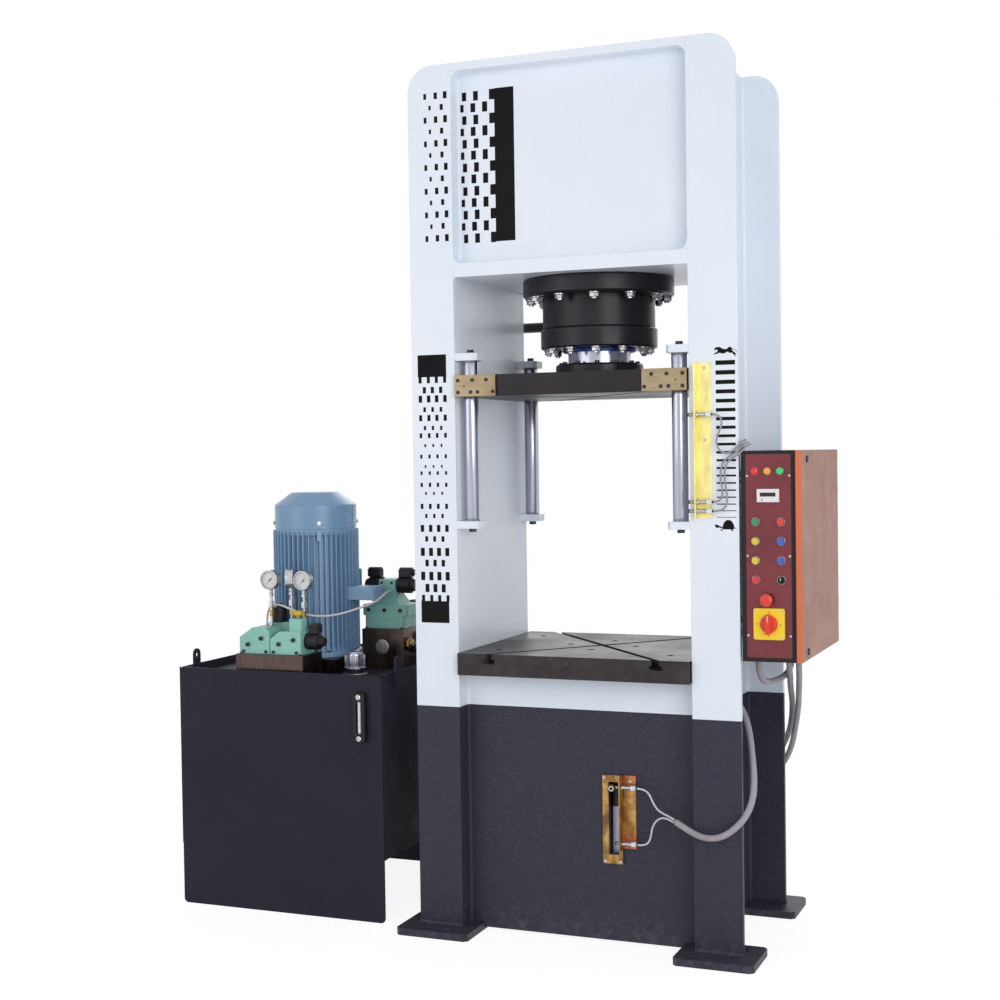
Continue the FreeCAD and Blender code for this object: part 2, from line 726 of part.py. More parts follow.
def cabinet_gear():
    """Mounting plate, two rails, contactors, terminals and the control transformer."""
    wall = CABINET_X[0] + SHEET
    plate = box((wall, wall + 3), (-240, 240), (980, 1545))
    front = wall + 3
    parts = [plate]
    for z in (1180, 1410):
        parts.append(box((front, front + 7), (-220, 220), (z, z + 35)))
        for k in range(5):
            low = -210 + k * 62
            contactor = box((front + 7, front + 72), (low, low + 45), (z - 20, z + 58))
            parts.append(eased(contactor, Vec(0, 1, 0), 12))
    parts.append(box((front, front + 90), (60, 200), (1010, 1130)))
    parts.append(box((front, front + 40), (-210, 20), (1020, 1060)))
    return group(parts)


# ---- power pack ---------------------------------------------------------------------------
def tank_plates():
    """Front and rear plates down to the floor, walls and floor between them, four lifting lugs."""
    (x0, x1), (y0, y1) = TANK_X, TANK_Y
    wall = TANK_WALL
    plates = [
        box(TANK_X, (y0, y0 + wall), (0, TANK_RIM)),
        box(TANK_X, (y1 - wall, y1), (0, TANK_RIM)),
        box((x0, x0 + wall), (y0 + wall, y1 - wall), (TANK_FLOOR, TANK_RIM)),
        box((x1 - wall, x1), (y0 + wall, y1 - wall), (TANK_FLOOR, TANK_RIM)),
        box((x0 + wall, x1 - wall), (y0 + wall, y1 - wall), (TANK_FLOOR, TANK_FLOOR + 6)),
    ]
    for y in (-190, 380):
        for x in (x1, x0 - 8):
            lug = box((x, x + 8), (y - 20, y + 20), (793, 877))
            way = Vec(1, 0, 0)
            lug = lug.fuse(bar(Vec(x, y, 877), 8, 20, way)).cut(bar(Vec(x, y, 874), 8, 9, way))
            plates.append(lug)
    return group(plates)


def tank_lid():
    """Recessed lid with the pump opening and the welded filler neck."""
    (x0, x1), (y0, y1) = TANK_X, TANK_Y
    wall = TANK_WALL
    lid = box((x0 + wall, x1 - wall), (y0 + wall, y1 - wall), (LID_TOP - 6, LID_TOP))
    lid = lid.cut(bar(Vec(MOTOR.x, MOTOR.y, LID_TOP - 6), 6, 60, sides=ROUND))
    neck = bar(Vec(FILLER.x, FILLER.y, LID_TOP), 20, 30)
    return lid.fuse(neck)


def filler_cap():
    outline = [(0, 835), (41, 835), (41, 843), (37, 846), (37, 888), (30, 897), (0, 900)]
    return turned(outline, Vec(FILLER.x, FILLER.y, 0))


def sight_gauge():
    """Frame with rounded ends and a window, and the glass tube in it."""
    face = TANK_Y[0]
    frame = eased(box((-789, -742), (face - 20, face), (613, 786)), Vec(0, 1, 0), 10)
    frame = frame.cut(box((-775, -756), (face - 20, face - 4), (645, 755)))
    tube = bar(Vec(-765.5, face - 12, 645), 110, 7.5)
    return group(frame, tube)


def motor_housing():
    """Finned stator housing with foot flange, end shield, terminal box and rear cable box."""
    x, y = MOTOR.x, MOTOR.y
    core, tip = 136.0, 155.5
    foot, crest = MOTOR_BASE, 1327.0
    bearing = clear(25, ROUND)
    section = [
        (bearing, foot),
        (162, foot),
        (162, foot + 20),
        (core, foot + 20),
        (core, crest),
        (bearing, crest),
        (bearing, crest - 20),
        (95, crest - 20),
        (95, foot + 30),
        (bearing, foot + 30),
    ]
    body = turned(section, Vec(x, y, 0))
    outline = []
    for k in range(MOTOR_FINS):
        for radius, share in ((core - 2, -0.28), (tip, -0.2), (tip, 0.2), (core - 2, 0.28)):
            turn = 2 * math.pi * (k + share) / MOTOR_FINS
            outline.append(Vec(x + radius * math.cos(turn), y + radius * math.sin(turn), foot + 20))
    fins = prism(outline, Vec(0, 0, crest - 28 - foot)).cut(bar(Vec(x, y, foot), 500, 100, sides=ROUND))
    side_box = box((x + 130, -860), (y - 45, y + 45), (1066, 1118))
    rear_box = box((x - 60, x + 60), (y + 130, y + 245), (1050, 1160))
    gland = bar(Vec(x, MOTOR_GLAND_Y, 1036), 14, 14)
    return body.fuse(fins).fuse(side_box).fuse(rear_box).fuse(gland)


def motor_cowl():
    """Fan cowl with a sloping shoulder and a flat crown, of one pressed sheet."""
    low, turn, high = 1327.0, 1410.0, 1456.0
    skin = 3.0
    outline = [
        (148.5 - skin, low),
        (148.5, low),
        (148.5, turn),
        (89, high),
        (0, high),
        (0, high - skin),
        (88, high - skin),
        (148.5 - skin, turn - 2),
    ]
    return turned(outline, Vec(MOTOR.x, MOTOR.y, 0))


def motor_rotor():
    """Rotor and shaft down to the pump, with the fan's hub and straight blades."""
    shaft = 25.0
    body = turned(
        [
            (0, 645),
            (shaft, 645),
            (shaft, 950),
            (92, 950),
            (92, 1260),
            (shaft, 1260),
            (shaft, 1340),
            (45, 1340),
            (45, 1385),
            (0, 1385),
        ],
        Vec(MOTOR.x, MOTOR.y, 0),
        sides=16,
    )
    for k in range(8):
        blade = box((30, 128), (-2, 2), (1342, 1384))
        blade.rotate(Vec(0, 0, 0), UP, 45 * k)
        blade.translate(Vec(MOTOR.x, MOTOR.y, 0))
        body = body.fuse(blade)
    return body


def pump_body():
    """Bell housing under the lid and the gear pump's closed body, with its suction pipe."""
    x, y = MOTOR.x, MOTOR.y
    bell = turned(
        [
            (58, LID_TOP - 6),
            (85, LID_TOP - 6),
            (85, LID_TOP - 20),
            (70, LID_TOP - 20),
            (70, 690),
            (clear(25, 16), 690),
            (clear(25, 16), 705),
            (58, 705),
        ],
        Vec(x, y, 0),
        sides=16,
    )
    pump = eased(box((x - 62, x + 62), (y - 75, y + 75), (560, 690)), UP, 25)
    pump = pump.cut(bar(Vec(x, y, 640), 50, clear(25, 16), sides=16))
    suction = bar(Vec(x - 35, y, 260), 300, 20)
    return bell.fuse(pump).fuse(suction)


def manifold_blocks():
    """Riser under the left valves, motor base, and right manifold with its plug and side fittings."""
    riser = box(RISER_X, RISER_Y, (LID_TOP, RISER_TOP))
    base = box((MOTOR.x - 150, MOTOR.x + 150), (MOTOR.y - 150, MOTOR.y + 150), (LID_TOP, MOTOR_BASE))
    base = base.cut(bar(Vec(MOTOR.x, MOTOR.y, LID_TOP), 50, 60, sides=ROUND))
    block = box(MANIFOLD_X, MANIFOLD_Y, (LID_TOP, MANIFOLD_TOP))
    plug = bar(Vec(-863, MANIFOLD_Y[0], 893), 6, 29, Vec(0, -1, 0), sides=16)
    fittings = []
    for z in (905, 925):
        y = 100 if z == 905 else 190
        fittings.append(bar(Vec(MANIFOLD_X[1], y, z), 14, 18, Vec(1, 0, 0), sides=6))
    return group(riser, base, block, plug, fittings)


def valve_bodies():
    """Two relief valves on the riser, the block behind them, and the right main valve."""
    front, back = RISER_Y[0] + 10, -175
    left_side = ((-1257, 897), (-1137, 897), (-1137, 975), (-1150, 990), (-1205, 990), (-1257, 955))
    left = prism([Vec(x, front, z) for x, z in left_side], Vec(0, back - front, 0))
    right_side = ((-1134, 897), (-1012, 897), (-1012, 978), (-1098, 978), (-1134, 950))
    right = prism([Vec(x, front, z) for x, z in right_side], Vec(0, back - front, 0))
    tower = eased(box((-1067, -1017), (-262, -212), (978, 1022)), UP, 6)
    rear = eased(box((-1200, -1080), (back + 1, -146), (897, 1000)), Vec(0, 1, 0), 6)
    return group(left, right.fuse(tower), rear, valve_stack())


def valve_stack():
    """Foot, broad body, tapering neck and pilot block of the right valve, one above the other."""
    x, y = -866.0, 145.0
    stages = [(957, 1003, 80, 62), (1003, 1044, 91, 58)]
    body = None
    for low, high, half_x, half_y in stages:
        block = eased(box((x - half_x, x + half_x), (y - half_y, y + half_y), (low, high)), UP, 8)
        body = block if body is None else body.fuse(block)
    lower = Part.makePolygon([Vec(x + a * 56, y + b * 50, 1044) for a, b in SQUARE])
    upper = Part.makePolygon([Vec(x + a * 33, y + b * 36, 1081) for a, b in SQUARE])
    neck = Part.makeLoft([lower, upper], True, True)
    pilot = box((x - 33, x + 33), (y - 36, y + 36), (1081, 1134))
    return body.fuse(neck).fuse(pilot)


def solenoid_coils():
    """Black coils and their plugs: two on the pilot block, one beside and one behind the left valves."""
    parts = []
    x, y = -866.0, 145.0
    for side in (-1, 1):
        way = Vec(side, 0, 0)
        outline = [(0, 0), (30, 0), (30, 50), (22, 56), (22, 66), (0, 66)]
        parts.append(turned(outline, Vec(x + side * 33, y, 1112), way, sides=12))
        low = x + side * 38
        parts.append(eased(box((low, low + side * 50), (y - 15, y + 15), (1142, 1176)), Vec(0, 1, 0), 6))
    parts.append(bar(Vec(x + 88, y, 1159), 11, 14, Vec(1, 0, 0)))
    side_coil = [(0, 0), (29, 0), (29, 48), (20, 54), (14, 70), (0, 70)]
    parts.append(turned(side_coil, Vec(-1012, -225, 942), Vec(1, 0, 0), sides=12))
    parts.append(eased(box((-996, -962), (-242, -208), (971, 1006)), Vec(0, 1, 0), 5))
    rear_coil = [(0, 1000), (26, 1000), (26, 1052), (10, 1056), (10, 1066), (0, 1066)]
    parts.append(turned(rear_coil, Vec(-1160, -160, 0), sides=12))
    return group(parts)


def knob(centre, way):
    """Adjusting knob on its spindle."""
    outline = [(0, 0.3), (6, 0.3), (6, 10), (17, 12), (19, 24), (17, 27), (0, 27)]
    return turned(outline, centre, way, sides=16)


def left_knob():
    return knob(Vec(-1257, -205, 925), Vec(-1, 0, 0))


def top_knob():
    return knob(Vec(-1042, -237, 1022), UP)


def gauge_way(k):
    turn = math.radians(GAUGE_TURNS[k])
    return Vec(-math.sin(turn), -math.cos(turn), 0)


def pressure_gauges():
    """Three gauges: cupped cases open to the front, each with its socket and pipe down to a valve."""
    parts = []
    cup = [(0, 0), (GAUGE, 0), (GAUGE, 26), (GAUGE - 4, 28), (GAUGE - 4, 14), (0, 14)]
    for k, centre in enumerate(GAUGE_CENTRES):
        way = gauge_way(k)
        case = turned(cup, centre - way * 14, way, sides=16)
        stem_top = centre.z - GAUGE
        root = centre - way * 4
        foot = GAUGE_FEET[k]
        case = case.fuse(bar(Vec(root.x, root.y, stem_top - 24), 25, 10, sides=6))
        case = case.fuse(bar(Vec(root.x, root.y, foot), stem_top - 24 - foot, 5, sides=8))
        parts.append(case.fuse(bar(Vec(root.x, root.y, foot + 20), 18, 12, sides=6)))
    return group(parts)


def gauge_needle(k):
    """Needle on its hub, just over the dial, resting at zero."""
    centre = GAUGE_CENTRES[k]
    way = gauge_way(k)
    across = Vec(-way.y, way.x, 0)
    lean = math.radians(225)
    tip = across * math.cos(lean) + UP * math.sin(lean)
    side = way.cross(tip)
    foot = centre + way * 1.5
    points = [foot - side * 2.2 - tip * 8, foot + side * 2.2 - tip * 8, foot + tip * 26]
    return prism(points, way * 1.2).fuse(bar(centre + way * 0.3, 4, 3.5, way))


def pipe_run(points, radius):
    """Straight pipes between forged elbow blocks, which stand at every inner point."""
    half = radius * 1.35
    parts = []
    for k in range(len(points) - 1):
        way = (points[k + 1] - points[k]).normalize()
        start = points[k] + way * half if k else points[k]
        end = points[k + 1] - way * half if k < len(points) - 2 else points[k + 1]
        parts.append(bar(start, (end - start).Length, radius, way, sides=8))
    for p in points[1:-1]:
        parts.append(box((p.x - half, p.x + half), (p.y - half, p.y + half), (p.z - half, p.z + half)))
    return parts


def pressure_pipes():
    """Feeds to the barrel's lower port, its top and the cushion, from the right manifold."""
    lower = [
        Vec(0, BARREL, PORT_Z),
        Vec(0, 345, PORT_Z),
        Vec(-820, 345, PORT_Z),
        Vec(-820, 345, 886),
        Vec(-820, MANIFOLD_Y[1], 886),
    ]
    upper = [
        Vec(0, 60, BARREL_TOP),
        Vec(0, 60, FEED_Z),
        Vec(0, 400, FEED_Z),
        Vec(-828, 400, FEED_Z),
        Vec(-828, 400, 1010),
        Vec(-885, 400, 1010),
        Vec(-885, 400, 925),
        Vec(-885, MANIFOLD_Y[1], 925),
    ]
    cushion = [
        Vec(0, 90, CUSHION_PORT_Z),
        Vec(0, 334, CUSHION_PORT_Z),
        Vec(-640, 334, CUSHION_PORT_Z),
        Vec(-640, 334, 880),
        Vec(-640, 150, 880),
        Vec(MANIFOLD_X[1], 150, 880),
    ]
    return group(pipe_run(lower, FEED_PIPE), pipe_run(upper, FEED_PIPE), pipe_run(cushion, CUSHION_PIPE))


# ---- cords --------------------------------------------------------------------------------
CONDUIT = 20.0
LEAD = 6.0
VALVE_CABLE = 8.0

CABINET_LOOP = [
    (572, -170, 926),
    (572, -170, 902),
    (575, -150, 869),
    (580, -115, 851),
    (588, -70, 844),
    (595, -20, 842),
    (603, 30, 844),
    (610, 76, 852),
    (615, 111, 870),
    (618, 130, 902),
    (618, 130, 926),
]
MOTOR_CONDUIT = [
    (633, 0, 922),
    (633, 0, 888),
    (630, 28, 852),
    (616, 96, 810),
    (602, 196, 739),
    (578, 298, 667),
    (552, 360, 600),
    (515, 404, 535),
    (450, 432, 468),
    (350, 442, 398),
    (210, 445, 335),
    (50, 446, 305),
    (-110, 446, 302),
    (-270, 446, 326),
    (-410, 446, 380),
    (-520, 446, 458),
    (-592, 446, 560),
    (-630, 447, 680),
    (-646, 449, 780),
    (-656, 451, 842),
    (-680, 452, 884),
    (-726, 453, 904),
    (-780, 453, 888),
    (-836, 453, 853),
    (-894, 452, 831),
    (-960, 448, 826),
    (-1022, 424, 826),
    (-1070, 380, 827),
    (-1098, 330, 834),
    (-1110, 286, 858),
    (-1112, 255, 900),
    (-1112, 248, 950),
    (-1112, 245, 994),
    (-1112, 245, 1036),
]
VALVE_CONDUIT = [
    (662, 14, 922),
    (662, 14, 886),
    (658, 38, 845),
    (646, 88, 796),
    (627, 172, 732),
    (596, 272, 646),
    (566, 348, 560),
    (528, 392, 490),
    (460, 408, 420),
    (350, 411, 345),
    (210, 412, 288),
    (50, 412, 258),
    (-120, 412, 256),
    (-285, 411, 284),
    (-420, 410, 345),
    (-515, 404, 435),
    (-568, 394, 550),
    (-592, 374, 680),
    (-602, 342, 810),
    (-608, 296, 925),
    (-616, 240, 1032),
    (-632, 182, 1110),
    (-668, 154, 1144),
    (-718, 145, 1159),
    (-767, 145, 1159),
]
SWITCH_CONDUIT = [
    (546, -140, 1010),
    (516, -140, 1010),
    (470, -140, 983),
    (443, -140, 936),
    (443, -140, 882),
    (463, -142, 832),
    (497, -150, 790),
    (527, -170, 750),
    (549, -205, 705),
    (566, -242, 640),
    (583, -286, 560),
    (584, -320, 508),
    (567, -344, 462),
    (532, -354, 424),
    (496, -356, 400),
    (455, -351, 390),
    (415, -339, 394),
    (375, -322, 408),
    (336, -306, 424),
]
UPPER_LEADS = [
    [
        (475, -335, 1698),
        (489, -335, 1698),
        (503, -334, 1684),
        (503, -333, 1662),
        (490, -332, 1636),
        (484, -331, 1610),
        (494, -331, 1586),
        (518, -331, 1576),
        (541, -330, 1588),
        (561, -322, 1612),
        (571, -300, 1620),
        (560, -276, 1618),
        (534, -262, 1606),
        (515, -256, 1583),
        (503, -244, 1550),
        (503, -236, 1524),
        (522, -232, 1506),
        (546, -232, 1506),
    ],
    [
        (475, -335, 1429),
        (489, -335, 1429),
        (503, -334, 1443),
        (504, -333, 1466),
        (498, -332, 1494),
        (497, -331, 1524),
        (505, -331, 1551),
        (525, -331, 1569),
        (548, -330, 1581),
        (568, -322, 1605),
        (578, -300, 1613),
        (567, -276, 1611),
        (541, -262, 1599),
        (522, -256, 1576),
        (511, -244, 1548),
        (511, -236, 1528),
        (526, -232, 1513),
        (546, -232, 1513),
    ],
    [
        (475, -335, 1401),
        (490, -335, 1401),
        (512, -334, 1409),
        (519, -333, 1432),
        (516, -332, 1462),
        (511, -332, 1494),
        (510, -331, 1524),
        (517, -331, 1548),
        (532, -331, 1562),
        (555, -330, 1574),
        (575, -322, 1598),
        (585, -300, 1606),
        (574, -276, 1604),
        (548, -262, 1592),
        (529, -256, 1569),
        (519, -244, 1548),
        (520, -236, 1533),
        (531, -232, 1520),
        (546, -232, 1520),
    ],
]
LOWER_LEADS = [
    [
        (331, -304, 430),
        (312, -296, 437),
        (290, -289, 443),
        (268, -283, 454),
        (252, -279, 477),
        (241, -276, 500),
        (222, -275, 514),
        (200, -275, 514),
    ],
    [
        (328, -304, 422),
        (309, -296, 429),
        (286, -288, 430),
        (265, -282, 418),
        (251, -279, 396),
        (246, -277, 369),
        (239, -275, 345),
        (221, -275, 333),
        (200, -275, 333),
    ],
]
VALVE_LEAD = [
    (-1190, -197, 990),
    (-1190, -197, 1020),
    (-1184, -192, 1053),
    (-1156, -184, 1066),
    (-1116, -184, 1054),
    (-1070, -181, 1036),
    (-1018, -172, 1024),
    (-968, -142, 1022),
    (-925, -100, 1032),
    (-888, -66, 1046),
    (-850, -26, 1062),
    (-842, 20, 1078),
    (-846, 68, 1094),
    (-846, 109, 1094),
]


def rounded_path(points):
    """Points along the route, its corners rounded as far as the runs allow, and the least radius."""
    points = [Vec(*p) for p in points]
    path = [points[0]]
    least = 1e9
    for k in range(1, len(points) - 1):
        before, corner, after = points[k - 1 : k + 2]
        into = (corner - before).normalize()
        out = (after - corner).normalize()
        half_turn = into.getAngle(out) / 2
        reach_in = (corner - before).Length * (0.9 if k == 1 else 0.499)
        reach_out = (after - corner).Length * (0.9 if k == len(points) - 2 else 0.499)
        reach = min(reach_in, reach_out)
        radius = reach / math.tan(half_turn)
        least = min(least, radius)
        path.append(corner - into * reach)
        if half_turn > math.radians(13):
            inward = (out - into).normalize()
            path.append(corner + inward * (radius / math.cos(half_turn) - radius))
        path.append(corner + out * reach)
    path.append(points[-1])
    kept = [path[0]]
    for point in path[1:]:
        if (point - kept[-1]).Length > 1.5:
            kept.append(point)
    kept[-1] = points[-1]
    return kept, least


def cord(points, diameter, sides, name):
    """A tube of flat sides along the rounded route, mitred at each point.

    Prints its length and its least radius.
    """
    path, least = rounded_path(points)
    way = (path[1] - path[0]).normalize()
    turn = FreeCAD.Rotation(UP, way)
    low = [path[0] + turn.multVec(corner) for corner in ring(diameter / 2, 0, sides)]
    faces = [Part.Face(Part.makePolygon(low + low[:1]))]
    for k in range(1, len(path)):
        way = (path[k] - path[k - 1]).normalize()
        after = (path[k + 1] - path[k]).normalize() if k < len(path) - 1 else way
        plane = way + after
        high = [corner + way * ((path[k] - corner).dot(plane) / way.dot(plane)) for corner in low]
        for j in range(sides):
            side = [low[j - 1], low[j], high[j], high[j - 1], low[j - 1]]
            faces.append(Part.Face(Part.makePolygon(side)))
        low = high
    faces.append(Part.Face(Part.makePolygon(low + low[:1])))
    tube = Part.Solid(Part.Shell(faces))
    if tube.Volume < 0:
        tube.reverse()
    length = sum((b - a).Length for a, b in zip(path, path[1:]))
    print(f"{name}: length {length:.0f}, least radius {least:.0f}, {len(faces)} faces")
    return tube


def power_conduits():
    return group(
        cord(CABINET_LOOP, CONDUIT, 6, "cabinet_loop"),
        cord(MOTOR_CONDUIT, CONDUIT, 6, "motor_conduit"),
        cord(VALVE_CONDUIT, CONDUIT, 6, "valve_conduit"),
    )


def switch_conduit():
    return cord(SWITCH_CONDUIT, CONDUIT, 6, "switch_conduit")


def thin_leads():
    leads = []
    for k, route in enumerate(UPPER_LEADS):
        leads.append(cord(route, LEAD, 5, f"upper_lead_{k + 1}"))
    for k, route in enumerate(LOWER_LEADS):
        leads.append(cord(route, LEAD, 5, f"lower_lead_{k + 1}"))
    leads.append(cord(VALVE_LEAD, VALVE_CABLE, 5, "valve_lead"))
    return group(leads)


# ---- nodes --------------------------------------------------------------------------------
NODES = {
    "column_edge_plates": column_edge_plates,
    "column_inner_plates": column_inner_plates,
    "foot_plates": foot_plates,
    "crown_box_plates": crown_box_plates,
    "crown_bottom_plate": crown_bottom_plate,
    "bed_front_web": bed_front_web,
    "bed_inner_plates": bed_inner_plates,
    "bed_top_plate": bed_top_plate,
    "bolster": bolster,
    "platen": platen,
    "bronze_guide_plates": bronze_guide_plates,
    "guide_pillars": guide_pillars,
    "pillar_brackets": pillar_brackets,
    "press_bolts": press_bolts,
    "cylinder_barrel": cylinder_barrel,
    "cylinder_gland": cylinder_gland,
    "press_ram": press_ram,
    "cushion_barrel": cushion_barrel,
    "cushion_table": cushion_table,
    "cushion_rod": cushion_rod,
    "switch_mounts": switch_mounts,
    "position_switches": position_switches,
    "cabinet_shell": cabinet_shell,
    "control_panel": control_panel,
    "panel_fittings": panel_fittings,
    "cabinet_gear": cabinet_gear,
    "cabinet_door": cabinet_door,
    "emergency_stop": emergency_stop,
    "selector_knob": selector_knob,
    "isolator_handle": isolator_handle,
    "tank_plates": tank_plates,
    "tank_lid": tank_lid,
    "filler_cap": filler_cap,
    "sight_gauge": sight_gauge,
    "motor_housing": motor_housing,
    "motor_cowl": motor_cowl,
    "motor_rotor": motor_rotor,
    "pump_body": pump_body,
    "manifold_blocks": manifold_blocks,
    "valve_bodies": valve_bodies,
    "solenoid_coils": solenoid_coils,
    "left_valve_knob": left_knob,
    "top_valve_knob": top_knob,
    "pressure_gauges": pressure_gauges,
    "pressure_pipes": pressure_pipes,
    "power_conduits": power_conduits,
    "switch_conduit": switch_conduit,
    "thin_leads": thin_leads,
}


def save(name, shape):
    if not shape.isValid():
        print("not valid:", name)
    shape.exportStep(f"parts/{name}.step")


def main():
    os.makedirs("parts", exist_ok=True)
    for name, make in NODES.items():
        save(name, make())
    for name, (x, z) in BUTTONS.items():
        save(name, push_button(x, z))
    for name, (z, way) in LOCKS.items():
        save(name, door_lock(z, way))
    for k in range(len(GAUGE_CENTRES)):
        save(f"gauge_needle_{k + 1}", gauge_needle(k))


main()
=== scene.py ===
import math
from itertools import product

import bmesh
import bpy
from mathutils import Matrix, Vector


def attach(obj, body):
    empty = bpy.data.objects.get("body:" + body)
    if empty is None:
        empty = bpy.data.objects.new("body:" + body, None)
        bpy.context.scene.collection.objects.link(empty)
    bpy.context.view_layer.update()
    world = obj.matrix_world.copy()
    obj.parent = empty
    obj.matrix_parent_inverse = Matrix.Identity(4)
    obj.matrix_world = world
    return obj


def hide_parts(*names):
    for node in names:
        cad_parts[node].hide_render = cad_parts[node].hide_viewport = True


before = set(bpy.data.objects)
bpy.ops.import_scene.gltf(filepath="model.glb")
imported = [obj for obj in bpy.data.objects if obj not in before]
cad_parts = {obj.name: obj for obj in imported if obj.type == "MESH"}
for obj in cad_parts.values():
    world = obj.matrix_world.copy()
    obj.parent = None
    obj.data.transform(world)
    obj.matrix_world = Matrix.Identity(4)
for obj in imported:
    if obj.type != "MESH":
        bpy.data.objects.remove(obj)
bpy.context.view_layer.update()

MM = 0.001
UP = (0, 0, 1)
DOWN = (0, 0, -1)
LEFT = (-1, 0, 0)
RIGHT = (1, 0, 0)
FRONT = (0, -1, 0)
SIDES = (-1, 1)
PRESS = "press_frame"
PAINT_LINE = 753  # height at which the dark coat ends and the white one begins


def placed(name, data):
    """A new object in the scene, made of this data."""
    thing = bpy.data.objects.new(name, data)
    bpy.context.collection.objects.link(thing)
    return thing


def carried(piece, body, stands_for):
    """Says which body a piece rides on, and hides the CAD nodes that it stands for."""
    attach(piece, body)
    if stands_for:
        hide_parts(*stands_for)


# ---- camera -------------------------------------------------------------------------------
def set_camera():
    """The photograph's view, from the right of the press at half its height."""
    yaw, pitch, roll = (math.radians(angle) for angle in (22.285, 1.635, -0.835))
    level = Vector((math.cos(yaw), math.sin(yaw), 0))
    ahead = Vector((-math.sin(yaw) * math.cos(pitch), math.cos(yaw) * math.cos(pitch), -math.sin(pitch)))
    above = level.cross(ahead)
    right = level * math.cos(roll) + above * math.sin(roll)
    top = above * math.cos(roll) - level * math.sin(roll)
    camera = placed("camera", bpy.data.cameras.new("camera"))
    camera.data.sensor_width = 36
    camera.data.lens = 57.06
    camera.data.clip_end = 60
    turn = Matrix((right, top, -ahead)).transposed().to_4x4()
    camera.matrix_world = Matrix.Translation((1.7126, -5.0806, 1.5834)) @ turn
    bpy.context.scene.camera = camera


set_camera()


# ---- finishes -----------------------------------------------------------------------------
def srgb(red, green, blue):
    """Display values from 0 to 255 as the linear colour that a shader takes."""
    linear = []
    for value in (red, green, blue):
        share = value / 255
        linear.append(share / 12.92 if share < 0.04 else ((share + 0.055) / 1.055) ** 2.4)
    return (*linear, 1.0)


def toned(colour, factor):
    """The same colour, darker below 1 and lighter above it."""
    return tuple(min(1.0, part * factor) for part in colour[:3]) + (1.0,)


FINISHES = {}


class Tree:
    """A node tree, and short ways to add nodes to it and to feed their inputs."""

    def __init__(self, tree):
        self.tree = tree

    def add(self, kind, inputs=None, **settings):
        node = self.tree.nodes.new(kind)
        for key, value in settings.items():
            setattr(node, key, value)
        for key, value in (inputs or {}).items():
            self.feed(node.inputs[key], value)
        return node

    def feed(self, socket, value):
        if isinstance(value, bpy.types.NodeSocket):
            self.tree.links.new(value, socket)
        else:
            socket.default_value = value

    def maths(self, operation, *values):
        return self.add("ShaderNodeMath", dict(enumerate(values)), operation=operation).outputs[0]

    def times(self, first, second):
        return self.maths("MULTIPLY", first, second)

    def plus(self, first, second):
        return self.maths("ADD", first, second)

    def seen_by_eye(self):
        """1 where the camera, a mirror or a pane looks at the surface, and 0 for other light."""
        rays = self.add("ShaderNodeLightPath").outputs
        share = rays["Is Camera Ray"]
        for kind in ("Is Glossy Ray", "Is Transmission Ray"):
            share = self.maths("MAXIMUM", share, rays[kind])
        return share

    def mixed(self, share, first, second, end):
        """Leads the mix of two shaders to the tree's output."""
        inputs = {0: share, 1: first.outputs[0], 2: second.outputs[0]}
        mix = self.add("ShaderNodeMixShader", inputs).outputs[0]
        self.tree.links.new(mix, self.tree.nodes[end].inputs["Surface"])


class Finish(Tree):
    """A material in the making: its shader, and short ways to add noise, tones and relief."""

    def __init__(self, name, rough, metallic=0.0, shine=0.5):
        self.material = FINISHES[name] = bpy.data.materials.new(name)
        self.material.use_nodes = True
        super().__init__(self.material.node_tree)
        self.shader = self.tree.nodes["Principled BSDF"]
        self.shader.inputs["Roughness"].default_value = rough
        self.shader.inputs["Metallic"].default_value = metallic
        self.shader.inputs["Specular IOR Level"].default_value = shine
        self.place = self.add("ShaderNodeTexCoord").outputs["Object"]

    def noise(self, scale, detail, stretch=(1, 1, 1)):
        place = self.add("ShaderNodeMapping", {"Vector": self.place, "Scale": stretch}).outputs[0]
        grain = self.add("ShaderNodeTexNoise", {"Vector": place, "Scale": scale, "Detail": detail})
        return grain.outputs["Fac"]

    def between(self, value, start, end, low=0.0, high=1.0):
        inputs = {"Value": value, "From Min": start, "From Max": end, "To Min": low, "To Max": high}
        return self.add("ShaderNodeMapRange", inputs).outputs[0]

    def blend(self, share, first, second):
        mix = self.add("ShaderNodeMix", data_type="RGBA")
        self.feed(mix.inputs[0], share)
        self.feed(mix.inputs[6], first)
        self.feed(mix.inputs[7], second)
        return mix.outputs[2]

    def axes(self):
        return self.add("ShaderNodeSeparateXYZ", {0: self.place}).outputs

    def colour(self, value):
        self.feed(self.shader.inputs["Base Color"], value)

    def roughness(self, value):
        self.feed(self.shader.inputs["Roughness"], value)

    def relief(self, height, strength, depth=0.001):
        inputs = {"Height": height, "Strength": strength, "Distance": depth}
        self.feed(self.shader.inputs["Normal"], self.add("ShaderNodeBump", inputs).outputs["Normal"])


def painted(name, colour, rough, peel, chips=0.72, shine=0.5):
    """Sprayed paint: slightly uneven tone, orange peel, and a few rubbed specks."""
    finish = Finish(name, rough, shine=shine)
    tone = finish.between(finish.noise(3.0, 4), 0.3, 0.7)
    body = finish.blend(tone, toned(colour, 0.9), toned(colour, 1.06))
    specks = finish.between(finish.noise(190, 2), chips, chips + 0.03)
    finish.colour(finish.blend(specks, body, toned(colour, 0.6)))
    finish.roughness(finish.between(finish.noise(14, 4), 0.3, 0.7, rough - 0.06, rough + 0.1))
    finish.relief(finish.noise(320, 2), peel)


